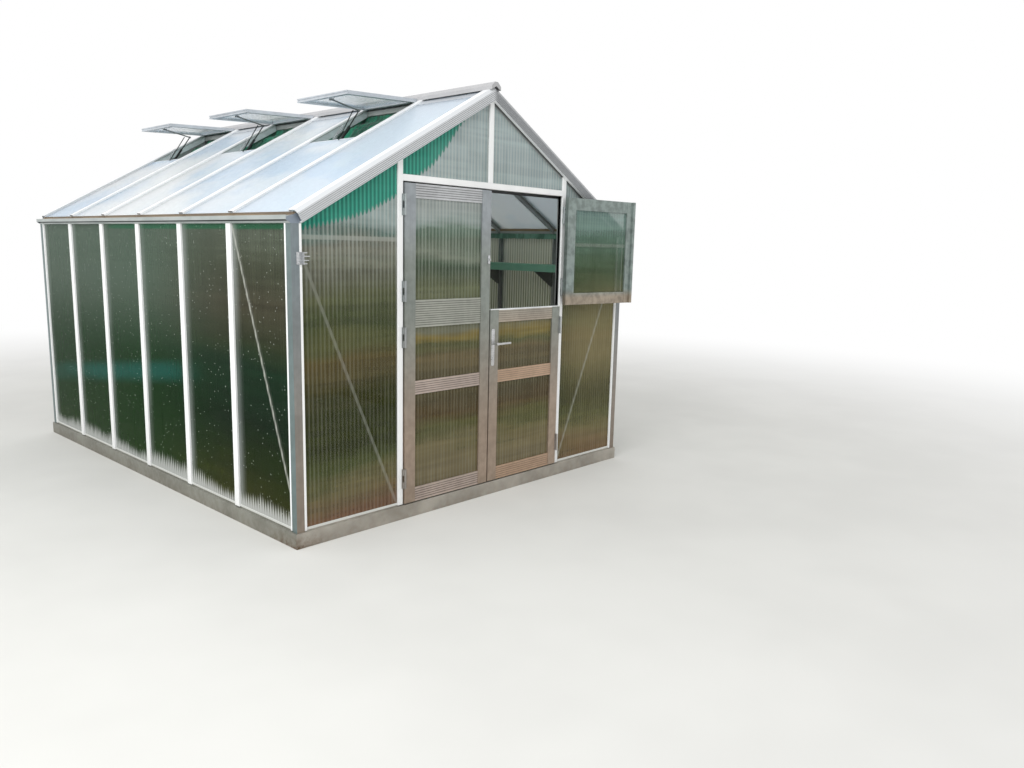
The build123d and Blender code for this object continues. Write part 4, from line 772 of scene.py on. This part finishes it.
BRACKET = painted("bracket_metal", shade(86, 88, 86), shade(126, 126, 120), 0.5, 0.4)
SHELF = painted("shelf_paint", shade(108, 160, 136), shade(130, 176, 154), 0.5)
RUBBER = painted("black_rubber", shade(18, 18, 20), shade(44, 44, 46), 0.6)
# the last colour of each shade cloth is its painted crease shade
CLOTH = shade_net("green_shade_net", shade(0, 96, 68), shade(6, 142, 106), shade(40, 164, 128),
                  shade(0, 50, 38))
PALE_CLOTH = shade_net("pale_shade_net", shade(70, 120, 98), shade(112, 158, 136), shade(130, 170, 150),
                       shade(58, 98, 82))
SIDE_SHEET = wall_sheet("side_wall_sheet", 1, SIDE_BANDS, (0.985, 0.95), (0.03, 0.12),
                        shade(120, 124, 108), 0.16, reach=1.75, bars=[SIDE_BRACE], specks=0.55, side=True)
GABLE_SHEET = wall_sheet("gable_sheet", 0, GABLE_BANDS, (0.95, 0.88), (0.12, 0.62), shade(184, 188, 182),
                         0.2, reach=2.5, bars=[GABLE_BRACE, RIGHT_BRACE, CROSSBAR], cloth=True)
LEAF_SHEET = wall_sheet("leaf_sheet", 0, LEAF_BANDS, (0.95, 0.88), (0.12, 0.55), shade(184, 188, 182), 0.2)
UPPER_SHEET = wall_sheet("upper_leaf_sheet", 0, UPPER_BANDS, (0.9, 0.86), (0.05, 0.2),
                         shade(150, 166, 158), 0.16, bars=[CROSSBAR], behind=0.55)
ROOF_SHEET = roof_sheet("roof_sheet", shade(246, 250, 253), shade(200, 224, 248), 0.86, 0.92)
VENT_SHEET = roof_sheet("vent_sheet", shade(226, 238, 248), shade(176, 204, 232), 0.62, 0.72)

FINISHES = {
    BASE_LONG: ("base_rail_left", "base_rail_right"),
    BASE_CROSS: ("base_rail_front", "base_rail_back"),
    POST_METAL: ("corner_post_front_left", "corner_post_front_right", "corner_post_back_left",
                 "corner_post_back_right"),
    BAR_METAL: ("wall_bars", "gable_posts"),
    GUTTER: ("eave_gutter_left", "eave_gutter_right"),
    LONG_METAL: ("ridge_beam", "bracing_bars"),
    CROSS_METAL: ("gable_rafters", "roof_bars"),
    WHITE: ("wall_strips", "gable_strips", "door_lintel"),
    ROOF_WHITE: ("roof_strips",),
    RIDGE_WHITE: ("ridge_cap",),
    VERGE_WHITE: ("verge_covers",),
    VENT_GREY: ("vent_frames", "ridge_flashings"),
    CURB_GREY: ("vent_curbs",),
    OPENER: ("vent_openers",),
    SIDE_SHEET: ("side_panes",),
    GABLE_SHEET: ("gable_panes",),
    LEAF_SHEET: ("left_leaf_panes", "lower_leaf_panes"),
    UPPER_SHEET: ("upper_leaf_panes",),
    ROOF_SHEET: ("roof_panes",),
    VENT_SHEET: ("vent_panes",),
    STILE_METAL: ("left_leaf_stiles", "lower_leaf_stiles"),
    RAIL_METAL: ("left_leaf_rails",),
    CAPPED_RAIL: ("lower_leaf_rails",),
    UPPER_METAL: ("upper_leaf_stiles", "upper_leaf_rails"),
    HINGE_STEEL: ("post_hinges", "left_leaf_hinges", "lower_leaf_hinges", "upper_leaf_hinges"),
    PLATED: ("lock_plate", "lever_handle", "leaf_latch", "door_catch"),
    BRACKET: ("shelf_brackets",),
    SHELF: ("shelf_board",),
}
for material, names in FINISHES.items():
    for name in names:
        nodes[name].data.materials.clear()
        nodes[name].data.materials.append(material)


def grid_faces(rows, columns, wrap=False):
    """The four-sided faces of a grid of rows x columns points, as rows of point numbers. With wrap
    the last column joins the first."""
    r = columns * np.arange(rows - 1)[:, None]
    c = np.arange(columns if wrap else columns - 1)[None, :]
    next_c = (c + 1) % columns
    corners = [r + c, r + next_c, r + columns + next_c, r + columns + c]
    return np.stack([np.broadcast_to(k, (r.size, c.size)) for k in corners], axis=-1).reshape(-1, 4)


def make_piece(name, parts, material, body, smooth=True):
    """One mesh from (points, faces) parts, riding on a body."""
    points = np.concatenate([p.reshape(-1, 3) for p, _ in parts])
    starts = np.cumsum([0] + [p.reshape(-1, 3).shape[0] for p, _ in parts[:-1]])
    faces = np.concatenate([f + s for (_, f), s in zip(parts, starts)])
    mesh = bpy.data.meshes.new(name)
    mesh.from_pydata(points, [], faces.tolist())
    mesh.polygons.foreach_set("use_smooth", np.full(len(faces), smooth))
    mesh.materials.append(material)
    piece = bpy.data.objects.new(name, mesh)
    bpy.context.collection.objects.link(piece)
    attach(piece, body)
    return piece


def carried(section, path, up):
    """A closed section, (across, up) points going anticlockwise, carried along a path. Point k of
    row i is path[i] + across * side[i] + up * rise[i], where side is at right angles to the run
    and to up. Both ends are closed by a row drawn in to the middle."""
    path = np.asarray(path, float)
    section = np.asarray(section, float)
    run = np.gradient(path, axis=0)
    run /= np.linalg.norm(run, axis=1, keepdims=True)
    side = np.cross(run, np.asarray(up, float))
    side /= np.linalg.norm(side, axis=1, keepdims=True)
    rise = np.cross(side, run)
    rows = path[:, None] + section[None, :, :1] * side[:, None] + section[None, :, 1:] * rise[:, None]
    middle = rows.mean(axis=1, keepdims=True)
    rows = np.concatenate([middle[:1] + 0 * rows[:1], rows, middle[-1:] + 0 * rows[-1:]])
    return rows, grid_faces(*rows.shape[:2], wrap=True)[:, ::-1]


def turned(profile, centres, axis):
    """Round pieces: a (radius, height) profile turned about an axis at each centre. A point is
    centre + height * axis + radius * (cos a * side + sin a * other)."""
    axis = np.asarray(axis, float) / np.linalg.norm(axis)
    side = np.cross(axis, (0.0, 0.0, 1.0) if abs(axis[2]) < 0.9 else (1.0, 0.0, 0.0))
    side /= np.linalg.norm(side)
    other = np.cross(axis, side)
    angle = np.linspace(0, 2 * np.pi, TURNED_SIDES, endpoint=False)
    ring = np.cos(angle)[:, None] * side + np.sin(angle)[:, None] * other
    profile = np.asarray(profile, float)
    shape = profile[:, None, 1:] * axis + profile[:, None, :1] * ring
    faces = grid_faces(*shape.shape[:2], wrap=True)[:, ::-1]
    return [(shape + np.asarray(c, float), faces) for c in centres]


def smooth_line(points, count):
    """Points spaced evenly by parameter on a smooth curve through the given ones: between two
    points it is the cubic whose slope at each is half the step between its neighbours."""
    points = np.asarray(points, float)
    ends = np.concatenate([2 * points[:1] - points[1:2], points, 2 * points[-1:] - points[-2:-1]])
    t = np.linspace(0, len(points) - 1, count)
    k = np.minimum(t.astype(int), len(points) - 2)
    u = (t - k)[:, None]
    a, b, c, d = ends[k], ends[k + 1], ends[k + 2], ends[k + 3]
    square = 2 * a - 5 * b + 4 * c - d
    cube = 3 * b - a - 3 * c + d
    return 0.5 * (2 * b + (c - a) * u + square * u ** 2 + cube * u ** 3)


def waves(y, s, lengths, seed):
    """Uneven folds, -1 to 1: sines along y whose phase drifts down the cloth, s from 0 to 1."""
    shift = np.random.default_rng(seed).uniform(0, 2 * np.pi, (len(lengths), 3))
    total = 0
    for length, (first, second, third) in zip(lengths, shift):
        drift = 1.4 * np.sin(2.1 * s * np.pi + second) + 0.9 * np.sin(y * 2.3 + third)
        total = total + np.sin(2 * np.pi * y / length + first + drift) / len(lengths)
    return total


def run_length(points):
    """Length of each line of points, averaged over the lines."""
    return float(np.linalg.norm(np.diff(points, axis=0), axis=2).sum(axis=0).mean())


def hung_cloth(name, points, material, replaced):
    """A cloth surface from a grid of points, with its own UV map in metres and a thin wall."""
    rows, columns = points.shape[:2]
    piece = make_piece(name, [(points, grid_faces(rows, columns))], material, "house")
    width = run_length(points)
    length = run_length(points.transpose(1, 0, 2))
    u, v = np.meshgrid(np.linspace(0, width, rows), np.linspace(0, length, columns), indexing="ij")
    flat = np.stack([u, v], axis=-1).reshape(-1, 2)
    corners = np.empty(len(piece.data.loops), dtype=int)
    piece.data.loops.foreach_get("vertex_index", corners)
    piece.data.uv_layers.new(name="Cloth").data.foreach_set("uv", flat[corners].ravel())
    wall = piece.modifiers.new("wall", "SOLIDIFY")
    wall.thickness = CLOTH_THICKNESS
    wall.offset = 0
    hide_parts(replaced)
    return piece


def make_shade_cloth():
    """The shade cloth hangs from the ridge beam and the left eave. Its line across the house is a
    smooth curve through the hang points. Folds ride on it: wave / 2 + 1/2 - |wave|, which has crisp
    crests, deepest halfway down and drawn flat towards the beam, with creases and fine waves. Its
    hem hangs free in points below the eave."""
    hang = [(-WALL_FACE * p, RIDGE_LINE - SLOPE * WALL_FACE * p - drop) for p, drop in CLOTH_HANG]
    across = smooth_line([CLOTH_HEAD, *hang, CLOTH_FOOT], 150)
    s = np.linspace(0, 1, len(across))[:, None]
    y = np.linspace(*CLOTH_ENDS, 620)[None, :]
    swing = np.clip(np.sin(np.pi * np.clip((s - 0.16) / 0.84, 0, 1)), 0, 1)
    depth = FOLD_DEPTH + FOLD_SWING * swing
    crest = np.abs(waves(y + 0.1 * s, s * 2, (0.121, 0.083), 7))
    fold = 0.5 * waves(y, s, (0.31, 0.17, 0.094), 3) + 0.5 - crest
    crease = 0.5 * np.abs(waves(s * 0.9 + 0.15 * y, y * 0.4, (0.07, 0.12), 9))
    fine = 0.35 * waves(y, s * 3, (0.052, 0.071), 5)
    drop = depth * (0.8 * fold + crease + fine)
    slide = 0.5 * depth * waves(y, s, (0.23, 0.12), 11)
    hem = HEM_DROP * np.clip((s - 0.94) / 0.06, 0, 1) * (0.5 + 0.5 * waves(y, 0 * s, (0.083, 0.047), 13))
    height = across[:, 1:] + drop - 0.2 * depth - hem
    points = np.stack([across[:, :1] + slide * 0.5, y + 0 * s, height], axis=-1)
    hung_cloth("shade_cloth_folds", points, CLOTH, "shade_cloth")


def make_eave_cloth():
    """The rolled edge of the right-hand cloth: a narrow strip with shallow waves, on the eave."""
    t = np.linspace(0, 1, 12)[:, None]
    y = np.linspace(*CLOTH_ENDS, 420)[None, :]
    wave = waves(y, t, (0.21, 0.11, 0.06), 21)
    x = WALL_FACE - STRIP_GAP - STRIP_WAVE * (0.5 + 0.5 * wave) * (1 - t)
    z = CLOTH_EDGE + STRIP_WIDTH * t + STRIP_HEM * wave * (1 - t)
    points = np.stack([x, y + 0 * t, z], axis=-1)
    hung_cloth("eave_cloth_strip", points, PALE_CLOTH, "eave_cloth")


def make_door_seals():
    """Black lip seals behind the leaves, down both jambs and along the lintel, where the narrower
    one lies behind the flange of the meeting stile."""
    lip = np.array(SEAL_LIP)
    heights = (SEAL_FOOT, (SEAL_FOOT + LINTEL) / 2, SEAL_HEAD)
    parts = []
    for side in (-1, 1):
        path = [(side * DOOR_JAMB, LEAF_BACK + SEAL_GAP, z) for z in heights]
        section = np.stack([lip[:, 1], -side * lip[:, 0]], axis=1)
        turn = section if side < 0 else section[::-1]
        parts.append(upright_strip(turn, path))
    back = LEAF_BACK + FLANGE_DEPTH
    top = [(-DOOR_JAMB, back, LINTEL), (0.0, back, LINTEL), (DOOR_JAMB, back, LINTEL)]
    section = np.stack([-LINTEL_SEAL * lip[::-1, 1], -lip[::-1, 0]], axis=1)
    parts.append(carried(section, top, (0, 0, 1)))
    make_piece("door_seals", parts, RUBBER, "house")


def upright_strip(section, path):
    """A section of (inwards y, sideways x) points carried straight up a path."""
    return carried(section[:, ::-1], path, (0, 1, 0))


def make_springs():
    """Return spring round each opener's cylinder: a helix of thin wire, at centre + radius * (cos a
    * side + sin a * other), that turns from near the heel to halfway to the knee. Beside it, the
    stay that runs from the knee down to the sill at one side."""
    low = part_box("vent_openers")[0]
    sill = np.array((low[0], 0, low[2] + SILL_HEIGHT))
    heel = sill + OPENER_HEEL
    knee = sill + OPENER_KNEE
    run = knee - heel
    along = run / np.linalg.norm(run)
    side = np.array((0, 1, 0))
    other = np.cross(along, side)
    turn = np.linspace(0, 2 * np.pi, 6, endpoint=False)
    ring = np.stack([np.cos(turn), np.sin(turn)], axis=1)
    springs = []
    stays = []
    for y in VENT_MIDDLES:
        t = np.linspace(*SPRING_PART, SPRING_TURNS * 14)
        angle = 2 * np.pi * SPRING_TURNS * (t - t[0]) / (t[-1] - t[0])
        centre = heel + (0, y, 0) + run * t[:, None]
        path = centre + SPRING_RADIUS * (np.cos(angle)[:, None] * side + np.sin(angle)[:, None] * other)
        springs.append(carried(SPRING_WIRE * ring, path, along))
        stay = np.linspace(knee + STAY_HEAD + (0, y, 0), sill + STAY_FOOT + (0, y, 0), 6)
        stays.append(carried(STAY_RADIUS * ring, stay, (0, 1, 0)))
    make_piece("opener_springs", springs, PLATED, "house")
    make_piece("opener_stays", stays, OPENER, "house")


def make_crossbar():
    """The light bar behind the front gable's sheets, below the eaves: a flattened tube on each side
    of the doorway. Its section is a circle squared off: each part is sign(p) * |p| ** 0.3, where p
    is cos t or sin t, scaled to half of its depth or height."""
    t = np.linspace(0, 2 * np.pi, 24, endpoint=False)
    ring = np.stack([np.cos(t), np.sin(t)], axis=1)
    section = np.sign(ring) * np.abs(ring) ** 0.3 * (CROSSBAR_DEPTH, CROSSBAR[2])
    height = CROSSBAR[0][1]
    parts = []
    for side in (-1, 1):
        near, far = sorted((side * CROSSBAR_ENDS[0], side * CROSSBAR_ENDS[1]))
        path = np.linspace((near, CROSSBAR_PLACE, height), (far, CROSSBAR_PLACE, height), 8)
        parts.append(carried(section, path, (0, 0, 1)))
    make_piece("gable_crossbar", parts, CROSS_METAL, "house", smooth=False)


def make_screws():
    """Screws of the hold-open catch and of the open half door's hinges."""
    rows = (CATCH_SCREWS, HINGE_SCREWS)
    places = [(x, FRONT + behind, z) for x, behind, heights in rows for z in heights]
    make_piece("house_screws", turned(SCREW, places, (0, -1, 0)), PLATED, "house")


def seen_directly(bench):
    """1 for what the camera sees, straight or by a mirror or through glass, and 0 for the light
    that falls on the house."""
    path = bench.put("ShaderNodeLightPath")
    return path["Is Camera Ray"].most(path["Is Glossy Ray"].most(path["Is Transmission Ray"]))


def make_stage():
    """A pale floor that fades to white far from the house."""
    material, bench, shader, place, _ = new_material("stage_floor")
    grain = bench.use(PATCHES, {"Place": place, "Size": 1.4})
    tone = grain["Patch"].mix(shade(226, 226, 222), shade(220, 220, 216))
    bench.dress(shader, Base_Color=tone, Roughness=0.9)
    away = bench.put("ShaderNodeVectorMath", {0: place}, operation="LENGTH")["Value"]
    share = away.spread(*FLOOR_FADE) * seen_directly(bench)
    white = bench.put("ShaderNodeEmission", {"Color": (1, 1, 1, 1), "Strength": 1.0})[0]
    joined = bench.put("ShaderNodeMixShader", {0: share, 1: Value(bench, shader.outputs[0]), 2: white})[0]
    bench.fill(material.node_tree.nodes["Material Output"], {"Surface": joined})
    mesh = bpy.data.meshes.new("stage_floor")
    angle = np.linspace(0, 2 * np.pi, 64, endpoint=False)
    rim = FLOOR_RADIUS * np.stack([np.cos(angle), np.sin(angle), 0 * angle], axis=1)
    mesh.from_pydata(rim - (0, 0, FLOOR_DEPTH), [], [list(range(len(rim)))])
    mesh.materials.append(material)
    floor = bpy.data.objects.new("stage_floor", mesh)
    bpy.context.collection.objects.link(floor)


def make_light():
    """Even white surroundings and one wide soft lamp high on the camera's left."""
    world = bpy.data.worlds.new("studio")
    world.use_nodes = True
    bpy.context.scene.world = world
    bench = Bench(world.node_tree)
    strength = seen_directly(bench).eased(0.8, 1.0)
    bench.fill(world.node_tree.nodes["Background"], {"Strength": strength, "Color": (1, 1, 1, 1)})
    lamp = bpy.data.lights.new("sky_panel", "AREA")
    lamp.shape = "RECTANGLE"
    lamp.size, lamp.size_y = LAMP_SIZE
    lamp.energy = LAMP_WATTS
    panel = bpy.data.objects.new("sky_panel", lamp)
    panel.location = LAMP_PLACE
    aim = Vector(LAMP_AIM) - Vector(LAMP_PLACE)
    panel.rotation_euler = aim.to_track_quat("-Z", "Y").to_euler()
    bpy.context.collection.objects.link(panel)


def make_camera():
    """The photograph's camera: yaw about Z from +Y, pitch, then roll about the line of sight."""
    yaw, pitch, roll = np.radians([CAMERA_YAW, CAMERA_PITCH, CAMERA_ROLL])
    ahead = Vector((-np.sin(yaw), np.cos(yaw), 0))
    right = Vector((np.cos(yaw), np.sin(yaw), 0))
    up = Vector((0, 0, 1))
    sight = np.cos(pitch) * ahead + np.sin(pitch) * up
    top = -np.sin(pitch) * ahead + np.cos(pitch) * up
    x_axis = np.cos(roll) * right + np.sin(roll) * top
    y_axis = -np.sin(roll) * right + np.cos(roll) * top
    turn = Matrix((x_axis, y_axis, -sight)).transposed()
    data = bpy.data.cameras.new("photo_camera")
    data.sensor_width = SENSOR
    data.lens = FOCAL_PIXELS * SENSOR / FRAME_WIDTH
    data.clip_end = FAR_CLIP
    camera = bpy.data.objects.new("photo_camera", data)
    camera.matrix_world = Matrix.Translation(CAMERA_PLACE) @ turn.to_4x4()
    bpy.context.collection.objects.link(camera)
    bpy.context.scene.camera = camera


make_camera()
make_light()
make_stage()
make_shade_cloth()
make_eave_cloth()
make_door_seals()
make_springs()
make_crossbar()
make_screws()
bpy.context.scene.view_settings.view_transform = "Standard"
